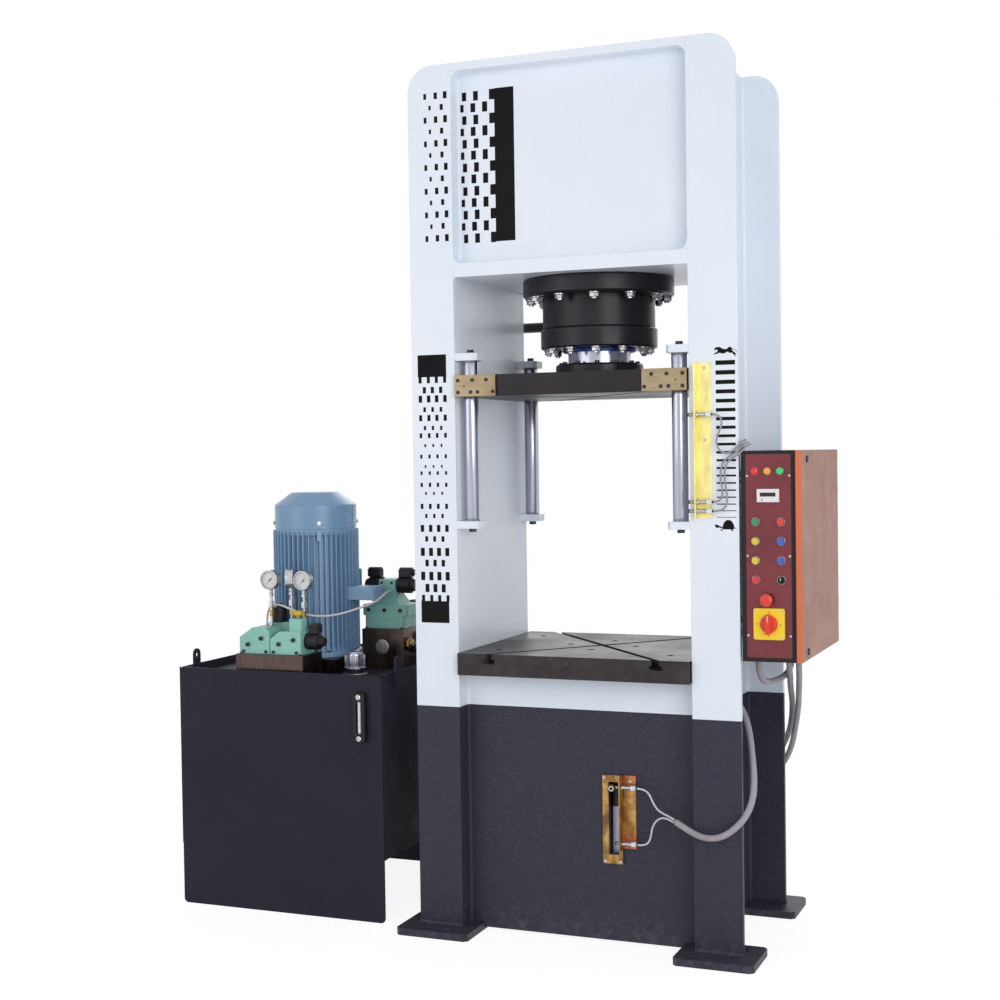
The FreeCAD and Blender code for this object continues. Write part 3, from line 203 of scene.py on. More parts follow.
def metal(name, colour, rough, stretch, scale, stain_and_reflection, relief=0.1):
    """Machined or drawn metal: fine tool lines along one way, and darker patches: faint stains on most
    metals, and on brown steel strong patches that are stains and also painted dark reflections.
    """
    finish = Finish(name, rough, 1.0)
    lines = finish.noise(scale, 5, stretch)
    stains_and_reflections = finish.between(finish.noise(6, 5), 0.45, 0.75, 0, stain_and_reflection)
    body = finish.blend(finish.between(lines, 0.3, 0.7), toned(colour, 0.82), toned(colour, 1.12))
    finish.colour(finish.blend(stains_and_reflections, body, toned(colour, 0.45)))
    worn = finish.plus(finish.between(lines, 0.3, 0.7, -0.06, 0.08), finish.times(stains_and_reflections, 0.4))
    finish.roughness(finish.plus(worn, rough))
    finish.relief(lines, relief)


def moulded(name, colour, rough, grain=0.1, shine=0.5):
    """Moulded plastic or rubber: even colour with a fine grain and a little dust."""
    finish = Finish(name, rough, shine=shine)
    dust = finish.between(finish.noise(25, 4), 0.5, 0.8, 0, 0.25)
    finish.colour(finish.blend(dust, colour, toned(colour, 1.25)))
    finish.roughness(finish.between(finish.noise(60, 3), 0.3, 0.7, rough - 0.05, rough + 0.08))
    finish.relief(finish.noise(600, 2), grain, 0.0004)


def frame_paint():
    """White gloss above the paint line and a dark stippled coat below it, with scuffs near the floor."""
    finish = Finish("frame_paint", 0.3)
    axes = finish.axes()
    above = finish.between(axes["Z"], (PAINT_LINE - 0.4) * MM, (PAINT_LINE + 0.4) * MM)
    tone = finish.between(finish.noise(1.6, 3), 0.35, 0.65)
    white = finish.blend(tone, srgb(228, 236, 248), srgb(236, 242, 251))
    marks = finish.between(finish.noise(70, 3), 0.74, 0.78, 0, 0.35)
    white = finish.blend(marks, white, srgb(190, 195, 205))
    stipple = finish.noise(520, 3)
    dark = finish.blend(finish.between(stipple, 0.42, 0.7), srgb(42, 41, 53), srgb(74, 73, 89))
    low = finish.between(axes["Z"], 0.0, 0.12, 0.5, 0)
    scuffs = finish.times(low, finish.between(finish.noise(40, 5), 0.45, 0.7))
    dark = finish.blend(scuffs, dark, srgb(96, 92, 98))
    finish.colour(finish.blend(above, dark, white))
    finish.roughness(finish.between(above, 0, 1, 0.46, 0.27))
    finish.feed(finish.shader.inputs["Specular IOR Level"], finish.between(above, 0, 1, 0.22, 0.5))
    finish.relief(finish.times(stipple, finish.between(above, 0, 1, 1.0, 0.1)), 0.5)


def ground_plate(name, dark, light, stretch):
    """Ground plate with grinding lines, oil stains and a few scratches."""
    finish = Finish(name, 0.42, 0.3, 0.35)
    lines = finish.noise(26, 6, stretch)
    patches = finish.between(finish.noise(4.5, 6), 0.35, 0.68)
    body = finish.blend(finish.between(lines, 0.25, 0.75), dark, light)
    body = finish.blend(finish.times(patches, 0.45), body, toned(dark, 0.7))
    scratch = finish.between(finish.noise(9, 2, (1, 30, 1)), 0.735, 0.745, 0, 0.5)
    finish.colour(finish.blend(scratch, body, toned(light, 1.6)))
    finish.roughness(finish.between(patches, 0, 1, 0.34, 0.52))
    finish.relief(lines, 0.12)


def trip_steel():
    """Bright at its foot and on the rod, blackened along the upper part of the trip bar."""
    finish = Finish("trip_steel", 0.34, 0.35)
    axes = finish.axes()
    high = finish.between(axes["Z"], 0.4385, 0.4395)
    forward = finish.between(axes["Y"], -0.139, -0.141)
    lines = finish.noise(90, 4, (1, 1, 0.05))
    bright = finish.blend(finish.between(lines, 0.3, 0.7), srgb(186, 192, 218), srgb(210, 216, 236))
    dark = finish.blend(finish.between(lines, 0.3, 0.7), srgb(24, 22, 26), srgb(34, 32, 36))
    finish.colour(finish.blend(finish.times(high, forward), bright, dark))
    finish.roughness(finish.between(lines, 0.3, 0.7, 0.3, 0.4))
    finish.relief(lines, 0.05)


def old_brass():
    """Tarnished brass sheet, with reddish heat marks near both ends of the switch angle."""
    finish = Finish("old_brass", 0.42, 0.9)
    axes = finish.axes()
    grain = finish.noise(75, 6)
    tarnish = finish.between(finish.noise(32, 6, (1, 1, 0.5)), 0.4, 0.62)
    body = finish.blend(finish.between(grain, 0.3, 0.7), srgb(168, 122, 66), srgb(206, 168, 104))
    on_angle = finish.between(axes["X"], 0.146, 0.152)
    frame_tone = finish.blend(on_angle, srgb(104, 80, 54), srgb(138, 96, 54))
    body = finish.blend(finish.times(tarnish, 0.85), body, frame_tone)
    top = finish.between(axes["Z"], 0.5, 0.54)
    foot = finish.between(axes["Z"], 0.37, 0.33)
    ends = finish.times(finish.plus(top, foot), finish.times(on_angle, finish.between(grain, 0.35, 0.6)))
    finish.colour(finish.blend(ends, body, srgb(206, 104, 78)))
    finish.roughness(finish.between(tarnish, 0, 1, 0.32, 0.6))
    finish.relief(grain, 0.15)


def panel_film():
    """Maroon printed film: even, slightly glossy, with faint rub marks."""
    finish = Finish("panel_film", 0.3)
    tone = finish.between(finish.noise(7, 4), 0.3, 0.7)
    body = finish.blend(tone, srgb(112, 38, 46), srgb(128, 46, 54))
    rubs = finish.between(finish.noise(50, 3, (1, 1, 0.2)), 0.68, 0.74, 0, 0.3)
    finish.colour(finish.blend(rubs, body, srgb(150, 86, 90)))
    finish.roughness(finish.between(finish.noise(20, 3), 0.3, 0.7, 0.24, 0.36))
    finish.relief(finish.noise(500, 2), 0.05, 0.0004)


def clear_glass():
    """A thin pane that lets the lamps through, with a few finger marks."""
    finish = Finish("clear_glass", 0.04)
    marks = finish.between(finish.noise(24, 3), 0.45, 0.75)
    colour = srgb(244, 248, 250)
    finish.colour(finish.blend(marks, colour, toned(colour, 0.94)))
    finish.roughness(finish.between(marks, 0, 1, 0.04, 0.14))
    finish.feed(finish.shader.inputs["Alpha"], finish.between(marks, 0, 1, 0.12, 0.16))
    finish.relief(finish.noise(60, 2), 0.02, 0.0002)


def corrugated(name, length):
    """Covered flexible conduit: fine rings 3.2 mm apart along the cord's own length, with painted shade in
    their valleys and a slight painted highlight on their crests.
    """
    finish = Finish(name, 0.5)
    colour = srgb(176, 170, 178)
    along = finish.add("ShaderNodeSeparateXYZ", {0: finish.add("ShaderNodeUVMap").outputs[0]}).outputs["X"]
    turns = finish.times(along, 2 * math.pi * length / 3.2)
    rings = finish.maths("SINE", turns)
    grime = finish.between(finish.noise(16, 5), 0.4, 0.75, 0, 0.5)
    # Painted shade and highlight: the ring valleys are darker and the crests a little lighter.
    rings_with_painted_shade = finish.blend(finish.between(rings, -1, 1), toned(colour, 0.78), toned(colour, 1.05))
    finish.colour(finish.blend(grime, rings_with_painted_shade, toned(colour, 0.62)))
    finish.relief(rings, 0.5, 0.0006)


frame_paint()
trip_steel()
old_brass()
panel_film()
ground_plate("bolster_top", srgb(40, 35, 38), srgb(66, 58, 60), (1, 26, 1))
ground_plate("platen_steel", srgb(26, 23, 26), srgb(44, 39, 43), (1, 1, 20))
painted("vinyl", srgb(9, 7, 9), 0.6, 0.03, shine=0.15)
painted("tank_paint", srgb(38, 38, 51), 0.5, 0.1, 0.8, 0.15)
painted("cylinder_paint", srgb(36, 32, 38), 0.3, 0.12, shine=0.25)
painted("mint_paint", srgb(140, 196, 184), 0.34, 0.45, 0.66)
painted("motor_blue", srgb(134, 168, 200), 0.34, 0.4, 0.7)
painted("cowl_blue", srgb(122, 158, 192), 0.24, 0.15)
painted("cabinet_black", srgb(28, 24, 29), 0.22, 0.06, shine=0.3)
painted("door_orange", srgb(218, 110, 66), 0.34, 0.1)
# The door's right side is the same orange paint, made darker and greyer as painted shade.
painted("door_taupe", srgb(166, 122, 108), 0.48, 0.1, shine=0.3)
painted("yellow_plate", srgb(252, 214, 44), 0.35, 0.05)
painted("dial_white", srgb(240, 240, 236), 0.5, 0.02)
painted("counter_white", srgb(232, 226, 226), 0.4, 0.05)
painted("gear_grey", srgb(150, 152, 150), 0.45, 0.1)
metal("chrome", srgb(178, 180, 194), 0.22, (1, 1, 0.02), 160, 0.05, 0.02)
metal("bright_zinc", srgb(196, 196, 200), 0.3, (1, 1, 1), 140, 0.2)
metal("bronze", srgb(164, 146, 118), 0.44, (0.12, 1, 1), 120, 0.5)
metal("brass", srgb(196, 158, 92), 0.38, (1, 1, 0.3), 90, 0.5)
metal("zinc_yellow", srgb(240, 230, 164), 0.48, (1, 1, 0.4), 40, 0.15, 0.06)
# Brown steel's strong dark patches are painted dark reflections as well as stains.
metal("brown_steel", srgb(92, 78, 74), 0.24, (1, 1, 0.1), 70, 0.8)
metal("drawn_steel", srgb(170, 168, 166), 0.34, (1, 1, 0.3), 90, 0.3)
metal("black_oxide", srgb(72, 70, 72), 0.42, (1, 1, 1), 110, 0.3)
moulded("black_plastic", srgb(24, 23, 26), 0.42, 0.1, 0.3)
moulded("lead_black", srgb(38, 38, 42), 0.5)
moulded("lead_grey", srgb(150, 146, 156), 0.45)
moulded("lead_pale", srgb(206, 204, 212), 0.42)
moulded("red_plastic", srgb(222, 58, 50), 0.3)
moulded("red_handle", srgb(226, 62, 30), 0.32)
moulded("green_plastic", srgb(48, 150, 92), 0.3)
moulded("yellow_plastic", srgb(226, 196, 58), 0.3)
moulded("blue_plastic", srgb(64, 96, 196), 0.3)
moulded("red_lens", srgb(238, 50, 44), 0.18)
moulded("amber_lens", srgb(246, 166, 72), 0.18)
moulded("green_lens", srgb(60, 208, 122), 0.18)
moulded("knob_yellow", srgb(206, 176, 40), 0.38)
moulded("wiper_blue", srgb(34, 80, 190), 0.4)
moulded("dark_window", srgb(44, 16, 22), 0.2)
moulded("white_plastic", srgb(228, 230, 236), 0.35)
clear_glass()


# ---- cords --------------------------------------------------------------------------------
# Diameters of the cords, and their routes from one fitting to the other.
CONDUIT = 20
LEAD = 6
VALVE_CABLE = 8
CABINET_LOOP = [
    (572, -170, 926), (572, -170, 902), (575, -150, 869), (580, -115, 851), (588, -70, 844),
    (595, -20, 842), (603, 30, 844), (610, 76, 852), (615, 111, 870), (618, 130, 902),
    (618, 130, 926),
]
MOTOR_CONDUIT = [
    (633, 0, 922), (633, 0, 888), (630, 28, 852), (616, 96, 810), (602, 196, 739),
    (578, 298, 667), (552, 360, 600), (515, 404, 535), (450, 432, 468), (350, 442, 398),
    (210, 445, 335), (50, 446, 305), (-110, 446, 302), (-270, 446, 326), (-410, 446, 380),
    (-520, 446, 458), (-592, 446, 560), (-630, 447, 680), (-646, 449, 780), (-656, 451, 842),
    (-680, 452, 884), (-726, 453, 904), (-780, 453, 888), (-836, 453, 853), (-894, 452, 831),
    (-960, 448, 826), (-1022, 424, 826), (-1070, 380, 827), (-1098, 330, 834), (-1110, 286, 858),
    (-1112, 255, 900), (-1112, 248, 950), (-1112, 245, 994), (-1112, 245, 1036),
]
VALVE_CONDUIT = [
    (662, 14, 922), (662, 14, 886), (658, 38, 845), (646, 88, 796), (627, 172, 732),
    (596, 272, 646), (566, 348, 560), (528, 392, 490), (460, 408, 420), (350, 411, 345),
    (210, 412, 288), (50, 412, 258), (-120, 412, 256), (-285, 411, 284), (-420, 410, 345),
    (-515, 404, 435), (-568, 394, 550), (-592, 374, 680), (-602, 342, 810), (-608, 296, 925),
    (-616, 240, 1032), (-632, 182, 1110), (-668, 154, 1144), (-718, 145, 1159), (-767, 145, 1159),
]
SWITCH_CONDUIT = [
    (546, -140, 1010), (516, -140, 1010), (470, -140, 983), (443, -140, 936), (443, -140, 882),
    (463, -142, 832), (497, -150, 790), (527, -170, 750), (549, -205, 705), (566, -242, 640),
    (583, -286, 560), (584, -320, 508), (567, -344, 462), (532, -354, 424), (496, -356, 400),
    (455, -351, 390), (415, -339, 394), (375, -322, 408), (336, -306, 424),
]
UPPER_LEADS = [
    [
        (475, -335, 1698), (489, -335, 1698), (503, -334, 1684), (503, -333, 1662),
        (490, -332, 1636), (484, -331, 1610), (494, -331, 1586), (518, -331, 1576),
        (541, -330, 1588), (561, -322, 1612), (571, -300, 1620), (560, -276, 1618),
        (534, -262, 1606), (515, -256, 1583), (503, -244, 1550), (503, -236, 1524),
        (522, -232, 1506), (546, -232, 1506),
    ],
    [
        (475, -335, 1429), (489, -335, 1429), (503, -334, 1443), (504, -333, 1466),
        (498, -332, 1494), (497, -331, 1524), (505, -331, 1551), (525, -331, 1569),
        (548, -330, 1581), (568, -322, 1605), (578, -300, 1613), (567, -276, 1611),
        (541, -262, 1599), (522, -256, 1576), (511, -244, 1548), (511, -236, 1528),
        (526, -232, 1513), (546, -232, 1513),
    ],
    [
        (475, -335, 1401), (490, -335, 1401), (512, -334, 1409), (519, -333, 1432),
        (516, -332, 1462), (511, -332, 1494), (510, -331, 1524), (517, -331, 1548),
        (532, -331, 1562), (555, -330, 1574), (575, -322, 1598), (585, -300, 1606),
        (574, -276, 1604), (548, -262, 1592), (529, -256, 1569), (519, -244, 1548),
        (520, -236, 1533), (531, -232, 1520), (546, -232, 1520),
    ],
]
LOWER_LEADS = [
    [
        (331, -304, 430), (312, -296, 437), (290, -289, 443), (268, -283, 454),
        (252, -279, 477), (241, -276, 500), (222, -275, 514), (200, -275, 514),
    ],
    [
        (328, -304, 422), (309, -296, 429), (286, -288, 430), (265, -282, 418),
        (251, -279, 396), (246, -277, 369), (239, -275, 345), (221, -275, 333),
        (200, -275, 333),
    ],
]
VALVE_LEAD = [
    (-1190, -197, 990), (-1190, -197, 1020), (-1184, -192, 1053), (-1156, -184, 1066),
    (-1116, -184, 1054), (-1070, -181, 1036), (-1018, -172, 1024), (-968, -142, 1022),
    (-925, -100, 1032), (-888, -66, 1046), (-850, -26, 1062), (-842, 20, 1078),
    (-846, 68, 1094), (-846, 109, 1094),
]


def cord(name, route, diameter, finish, node):
    """A cord hung along its route, both its ends in the press or its cabinet."""
    curve = bpy.data.curves.new(name, "CURVE")
    curve.dimensions = "3D"
    spline = curve.splines.new("NURBS")
    spline.points.add(len(route) - 1)
    for knot, place in zip(spline.points, route):
        knot.co = (*(Vector(place) * MM), 1)
    spline.order_u = 3
    spline.use_endpoint_u = True
    spline.resolution_u = 8
    curve.bevel_depth = diameter / 2 * MM
    curve.bevel_resolution = 4
    curve.use_fill_caps = True
    curve.materials.append(FINISHES[finish])
    piece = placed(name, curve)
    carried(piece, PRESS, [node])


def hang_cords():
    for name, route, length in (
        ("cabinet_loop", CABINET_LOOP, 0.39),
        ("motor_conduit", MOTOR_CONDUIT, 2.9),
        ("valve_conduit", VALVE_CONDUIT, 2.65),
    ):
        corrugated(name, length / MM)
        cord(name, route, CONDUIT, name, "power_conduits")
    rings = "switch_conduit_rings"
    corrugated(rings, 960)
    cord("bed_conduit", SWITCH_CONDUIT, CONDUIT, rings, "switch_conduit")
    for k, (route, length) in enumerate(zip(UPPER_LEADS, (0.433, 0.425, 0.436)), 1):
        cord(f"upper_lead_{k}", route, LEAD, "lead_grey", "thin_leads")
    for k, (route, length) in enumerate(zip(LOWER_LEADS, (0.168, 0.189)), 1):
        cord(f"lower_lead_{k}", route, LEAD, "lead_pale", "thin_leads")
    cord("valve_lead", VALVE_LEAD, VALVE_CABLE, "lead_pale", "thin_leads")


hang_cords()


# ---- mesh kit -----------------------------------------------------------------------------
SHARP = math.radians(30)
SQUARE = ((0, 2, 3, 1), (4, 5, 7, 6), (0, 1, 5, 4), (2, 6, 7, 3), (0, 4, 6, 2), (1, 3, 7, 5))


def block(mesh, x, y, z, finish=0):
    """A block between the two values of each axis."""
    x, y, z = sorted(x), sorted(y), sorted(z)
    corners = [mesh.verts.new((a, b, c)) for c in z for b in y for a in x]
    for loop in SQUARE:
        mesh.faces.new([corners[i] for i in loop]).material_index = finish


def prism(mesh, outline, thickness, finish=0):
    """A flat outline of points made thick along a vector."""
    low = [mesh.verts.new(place) for place in outline]
    high = [mesh.verts.new(Vector(place) + Vector(thickness)) for place in outline]
    faces = [low[::-1], high]
    faces += [(low[k - 1], low[k], high[k], high[k - 1]) for k in range(len(low))]
    for corners in faces:
        mesh.faces.new(corners).material_index = finish


def leaning(axis):
    """The turn that lays the upright axis along another one."""
    return Vector(UP).rotation_difference(Vector(axis)).to_matrix()


def turned(mesh, section, centre=(0, 0, 0), axis=UP, sides=48, finish=0):
    """A turned solid from (radius, height) points; a third value in a point is the finish of the
    face that runs up to it."""
    lean = leaning(axis)
    rings = []
    for point in section:
        radius, height = point[:2]
        corners = []
        for k in range(sides if radius > 1e-6 else 1):
            angle = 2 * math.pi * k / sides
            spot = Vector((radius * math.cos(angle), radius * math.sin(angle), height))
            corners.append(mesh.verts.new(Vector(centre) + lean @ spot))
        rings.append(corners)
    for k, point in enumerate(section):
        low, high = rings[k - 1], rings[k]
        for j in range(sides if len(low) + len(high) > 2 else 0):
            corners = [low[(j - 1) % len(low)], low[j % len(low)]]
            corners += [high[j % len(high)], high[(j - 1) % len(high)]]
            face = mesh.faces.new(list(dict.fromkeys(corners)))
            face.material_index = point[2] if len(point) > 2 else finish


def bar(mesh, foot, length, radius, axis=UP, sides=24, finish=0):
    turned(mesh, [(0, 0), (radius, 0), (radius, length), (0, length)], foot, axis, sides, finish)


def hexagon(mesh, foot, height, corner, axis=UP, finish=0):
    """A nut or bolt head with its corners turned away at both ends."""
    flat = corner * 0.9
    edge = min(corner * 0.12, height / 3)
    section = [(0, 0), (flat, 0), (corner, edge), (corner, height - edge), (flat, height), (0, height)]
    turned(mesh, section, foot, axis, 6, finish)


def cap_screw(mesh, foot, radius, axis):
    """A socket head: round, with a recess in its middle."""
    section = [
        (0, 0), (radius, 0), (radius, radius * 0.9), (radius * 0.88, radius),
        (radius * 0.52, radius), (radius * 0.48, radius * 0.4), (0, radius * 0.4),
    ]
    turned(mesh, section, foot, axis, 16)


def slotted_screw(mesh, foot, radius, axis=FRONT):
    """A flat round head with its slot cut across."""
    lean = leaning(axis)
    bar(mesh, foot, radius * 0.25, radius, axis, 16)
    half = radius * 0.14
    for side in SIDES:
        outline = []
        for k in range(9):
            angle = math.radians(8 + 164 * k / 8) * side
            spot = Vector((radius * math.cos(angle), radius * math.sin(angle), radius * 0.25))
            spot.y = side * max(half, abs(spot.y))
            outline.append(Vector(foot) + lean @ spot)
        prism(mesh, outline, lean @ Vector((0, 0, radius * 0.2)))


def rounded(x, z, radius, y):
    """Corners of an upright rectangle with rounded corners, at the given depth."""
    left, right, low, high = x[0] + radius, x[1] - radius, z[0] + radius, z[1] - radius
    outline = []
    for a, b, start in ((right, low, -90), (right, high, 0), (left, high, 90), (left, low, 180)):
        for k in range(7):
            angle = math.radians(start + 15 * k)
            outline.append((a + radius * math.cos(angle), y, b + radius * math.sin(angle)))
    return outline


def skin(mesh, outlines, closed):
    """A surface over outlines with as many points each; closed, the last one meets the first."""
    rings = [[mesh.verts.new(place) for place in outline] for outline in outlines]
    for low, high in zip(rings[-1:] + rings if closed else rings, rings if closed else rings[1:]):
        for j in range(len(low)):
            mesh.faces.new((low[j - 1], low[j], high[j], high[j - 1]))
    if not closed:
        mesh.faces.new(rings[0])
        mesh.faces.new(rings[-1])


def done(mesh, name, body, finishes, stands_for=(), ease=0.6, steps=2):
    """Makes what was drawn a piece that rides on its body; ease is the radius of its edges."""
    bmesh.ops.recalc_face_normals(mesh, faces=mesh.faces)
    bmesh.ops.scale(mesh, vec=(MM, MM, MM), verts=mesh.verts)
    settle(mesh, name, body, finishes, stands_for, ease, steps)


def smooth_data(name, mesh):
    data = bpy.data.meshes.new(name)
    mesh.to_mesh(data)
    mesh.free()
    data.polygons.foreach_set("use_smooth", [True] * len(data.polygons))
    return data


def settle(mesh, name, body, finishes, stands_for, ease, steps):
    """The last steps of any drawn piece; without ease its edges are sharp."""
    data = smooth_data(name, mesh)
    for finish in finishes:
        data.materials.append(FINISHES[finish])
    piece = placed(name, data)
    if ease:
        soften = piece.modifiers.new("eased edges", "BEVEL")
        soften.width = ease * MM
        soften.segments = steps
        soften.limit_method = "ANGLE"
        soften.angle_limit = SHARP
        level = piece.modifiers.new("flat faces stay flat", "WEIGHTED_NORMAL")
        level.weight = 100
    else:
        data.set_sharp_from_angle(angle=SHARP)
    carried(piece, body, stands_for)


def lathed(name, body, finish, section, nodes, ease, centre=(0, 0, 0), axis=UP, sides=96):
    """A piece that is one turned solid."""
    mesh = bmesh.new()
    turned(mesh, section, centre, axis, sides)
    done(mesh, name, body, [finish], nodes, ease)


def bright_screws(mesh, name, stands_for=()):
    done(mesh, name, PRESS, ["bright_zinc"], stands_for, ease=0)


def eased(name, nodes, body, finishes, ease, steps=2, choose=None, round_off=None):
    """The CAD solids of these nodes with rounded edges; choose gives a face's finish by its middle
    point and direction, and round_off a larger radius to an edge by its middle and length."""
    mesh = bmesh.new()
    for node in nodes:
        mesh.from_mesh(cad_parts[node].data)
    bmesh.ops.remove_doubles(mesh, verts=mesh.verts, dist=2e-6)
    flat = math.radians(0.5)
    bmesh.ops.dissolve_limit(mesh, angle_limit=flat, verts=mesh.verts, edges=mesh.edges)
    if round_off:
        radius, wanted = round_off
        edges = []
        for edge in mesh.edges:
            start, end = (corner.co / MM for corner in edge.verts)
            if wanted((start + end) / 2, (end - start).length):
                edges.append(edge)
        bmesh.ops.bevel(mesh, geom=edges, offset=radius * MM, segments=6, profile=0.5, affect="EDGES")
    for face in mesh.faces:
        middle = face.calc_center_median() / MM
        face.material_index = choose(middle, face.normal) if choose else 0
    settle(mesh, name, body, finishes, nodes, ease, steps)


# ---- repeated parts -----------------------------------------------------------------------
def repeating_tree(name, sizes, lay_out):
    """A node tree that copies one part onto points; lay_out gives their place, turn and scale."""
    group = bpy.data.node_groups.new(name, "GeometryNodeTree")
    sockets = [("part", "NodeSocketObject"), ("count", "NodeSocketInt"), ("finish", "NodeSocketMaterial")]
    for label, kind in sockets + sizes:
        group.interface.new_socket(label, in_out="INPUT", socket_type=kind)
    group.interface.new_socket("Parts", in_out="OUTPUT", socket_type="NodeSocketGeometry")
    tree = Tree(group)
    add = tree.add
    given = add("NodeGroupInput").outputs
    order = add("GeometryNodeInputIndex").outputs[0]
    place, turn, scale = lay_out(tree, given, order)
    points = add("GeometryNodePoints", {"Count": given["count"], "Position": place}).outputs[0]
    part = add("GeometryNodeObjectInfo", {"Object": given["part"]}).outputs["Geometry"]
    inputs = {"Points": points, "Instance": part, "Rotation": turn, "Scale": scale}
    copies = add("GeometryNodeInstanceOnPoints", inputs).outputs[0]
    solid = add("GeometryNodeRealizeInstances", {0: copies}).outputs[0]
    result = add("GeometryNodeSetMaterial", {"Geometry": solid, "Material": given["finish"]}).outputs[0]
    add("NodeGroupOutput", {0: result})
    return group


def ring_layout(tree, given, order):
    """Points round a circle, each part turned to face outwards."""
    step = tree.maths("DIVIDE", 2 * math.pi, given["count"])
    angle = tree.plus(tree.times(order, step), given["first angle"])
    across, along = (
        tree.times(tree.maths(wave, angle), given["circle radius"]) for wave in ("COSINE", "SINE")
    )
    place = tree.add("ShaderNodeCombineXYZ", {"X": across, "Y": along}).outputs[0]
    turn = tree.add("ShaderNodeCombineXYZ", {"Z": angle}).outputs[0]
    return place, turn, (1, 1, 1)


def row_layout(tree, given, order):
    """Points in a straight row whose steps and parts both grow or shrink along it."""
    def times_order(vector):
        return tree.add("ShaderNodeVectorMath", {0: vector, "Scale": order}, operation="SCALE").outputs[0]

    def total(first, second):
        return tree.add("ShaderNodeVectorMath", {0: first, 1: second}, operation="ADD").outputs[0]

    place = times_order(total(given["step"], times_order(given["closing"])))
    return place, (0, 0, 0), total((1, 1, 1), times_order(given["growth"]))


ring_sizes = [(label, "NodeSocketFloat") for label in ("circle radius", "first angle")]
RING = repeating_tree("Ring of parts", ring_sizes, ring_layout)
row_sizes = [(label, "NodeSocketVector") for label in ("step", "closing", "growth")]
ROW = repeating_tree("Row of parts", row_sizes, row_layout)


def repeated(tree, name, draw, finish, body, slot, centre=(0, 0, 0), axis=UP, stands_for=(), **sizes):
    """A piece made of one small part repeated by a node tree, set at its centre along its axis."""
    mesh = bmesh.new()
    draw(mesh)
    bmesh.ops.recalc_face_normals(mesh, faces=mesh.faces)
    data = smooth_data(name + "_part", mesh)
    data.set_sharp_from_angle(angle=SHARP)
    part = placed(data.name, data)
    host = placed(name, bpy.data.meshes.new(name))
    modifier = host.modifiers.new("repeat", "NODES")
    modifier.node_group = tree
    sizes = {"part": part, "finish": FINISHES[finish], **{k.replace("_", " "): v for k, v in sizes.items()}}
    for socket in tree.interface.items_tree:
        if socket.in_out == "INPUT":
            modifier[socket.identifier] = sizes[socket.name]
    result = bpy.data.meshes.new_from_object(host.evaluated_get(bpy.context.evaluated_depsgraph_get()))
    host.modifiers.clear()
    host.data = result
    result.transform(Matrix.Scale(MM, 4) @ Matrix.Translation(centre) @ leaning(axis).to_4x4())
    bpy.data.objects.remove(part)
    carried(host, body, stands_for)


# ---- frame --------------------------------------------------------------------------------
WINDOW = 395  # half the width of the opening between the columns
HALF_DEPTH = 315  # from the middle to the columns' front and rear faces
FACE = 258  # from the middle to the crown's recessed faces
BED_WEB = 245  # from the middle to the faces of the bed's webs
FOOT_TOP = 24
BED_TOP = 862
OPENING_TOP = 2166
RECESS_FOOT = 2211
RECESS_TOP = 2836


def frame_plates():
    for name, nodes, slot, ease, steps in (
        ("edge_plates", ["column_edge_plates"], "white_paint", 2.0, 3),
        ("inner_plates", ["column_inner_plates"], "white_paint", 1.0, 2),
        ("crown_plates", ["crown_box_plates", "crown_bottom_plate"], "white_paint", 1.5, 2),
        ("bed_plates", ["bed_front_web", "bed_inner_plates", "bed_top_plate"], "dark_paint", 1.2, 2),
        ("feet", ["foot_plates"], "dark_paint", 1.2, 2),
        ("brackets", ["pillar_brackets"], "white_paint", 1.5, 3),
    ):
        eased(name, nodes, PRESS, ["frame_paint"], ease, steps)


def seam(mesh, start, end, toward_a, toward_b, size, steps=4):
    """A hollow fillet along a straight inner corner, such as a weld or a rounded corner of a recess."""
    start, end, a, b = (Vector(v) for v in (start, end, toward_a, toward_b))
    outline = [start]
    for k in range(steps + 1):
        angle = math.pi / 2 * k / steps
        outline.append(start + a * size * (1 - math.sin(angle)) + b * size * (1 - math.cos(angle)))
    prism(mesh, outline, end - start)


def weld_fillets():
    """Rounded corners and fillets where the recessed faces meet the columns, crown and bed plates."""
    mesh = bmesh.new()
    ends = ((RECESS_FOOT, 1), (RECESS_TOP, -1))
    for side in SIDES:
        face, web, out = side * FACE, side * BED_WEB, (0, side, 0)
        for x in (-WINDOW, WINDOW):
            inward = -math.copysign(1, x)
            for z, up in ends:
                seam(mesh, (x, face, z), (x, face + side * 55, z), (inward, 0, 0), (0, 0, up), 30, 8)
            seam(mesh, (x, face, RECESS_FOOT), (x, face, RECESS_TOP), (inward, 0, 0), out, 8)
            seam(mesh, (x, web, FOOT_TOP), (x, web, BED_TOP), (inward, 0, 0), out, 9)
        for z, up in ends:
            seam(mesh, (-WINDOW, face, z), (WINDOW, face, z), (0, 0, up), out, 8)
    for x, y in product((-WINDOW, WINDOW), (-HALF_DEPTH, HALF_DEPTH)):
        inward, back = -math.copysign(1, x), -math.copysign(1, y)
        start, end = (x, y + back * 2, OPENING_TOP), (x, y + back * 18, OPENING_TOP)
        seam(mesh, start, end, (inward, 0, 0), DOWN, 10, 8)
    done(mesh, "weld_fillets", PRESS, ["frame_paint"], ease=0)


def column_joints():
    """Weld beads between the column plates, and along the columns' feet in front and behind."""
    mesh = bmesh.new()
    for x_side, y_side in product(SIDES, SIDES):
        x, y = x_side * (WINDOW + 30), y_side * (HALF_DEPTH - 20)
        seam(mesh, (x, y, FOOT_TOP), (x, y, RECESS_TOP), (x_side, 0, 0), (0, -y_side, 0), 9)
        y = y_side * HALF_DEPTH
        start, end = (x_side * WINDOW, y, FOOT_TOP), (x_side * 550, y, FOOT_TOP)
        seam(mesh, start, end, UP, (0, y_side, 0), 8)
    done(mesh, "column_joints", PRESS, ["frame_paint"], ease=0)


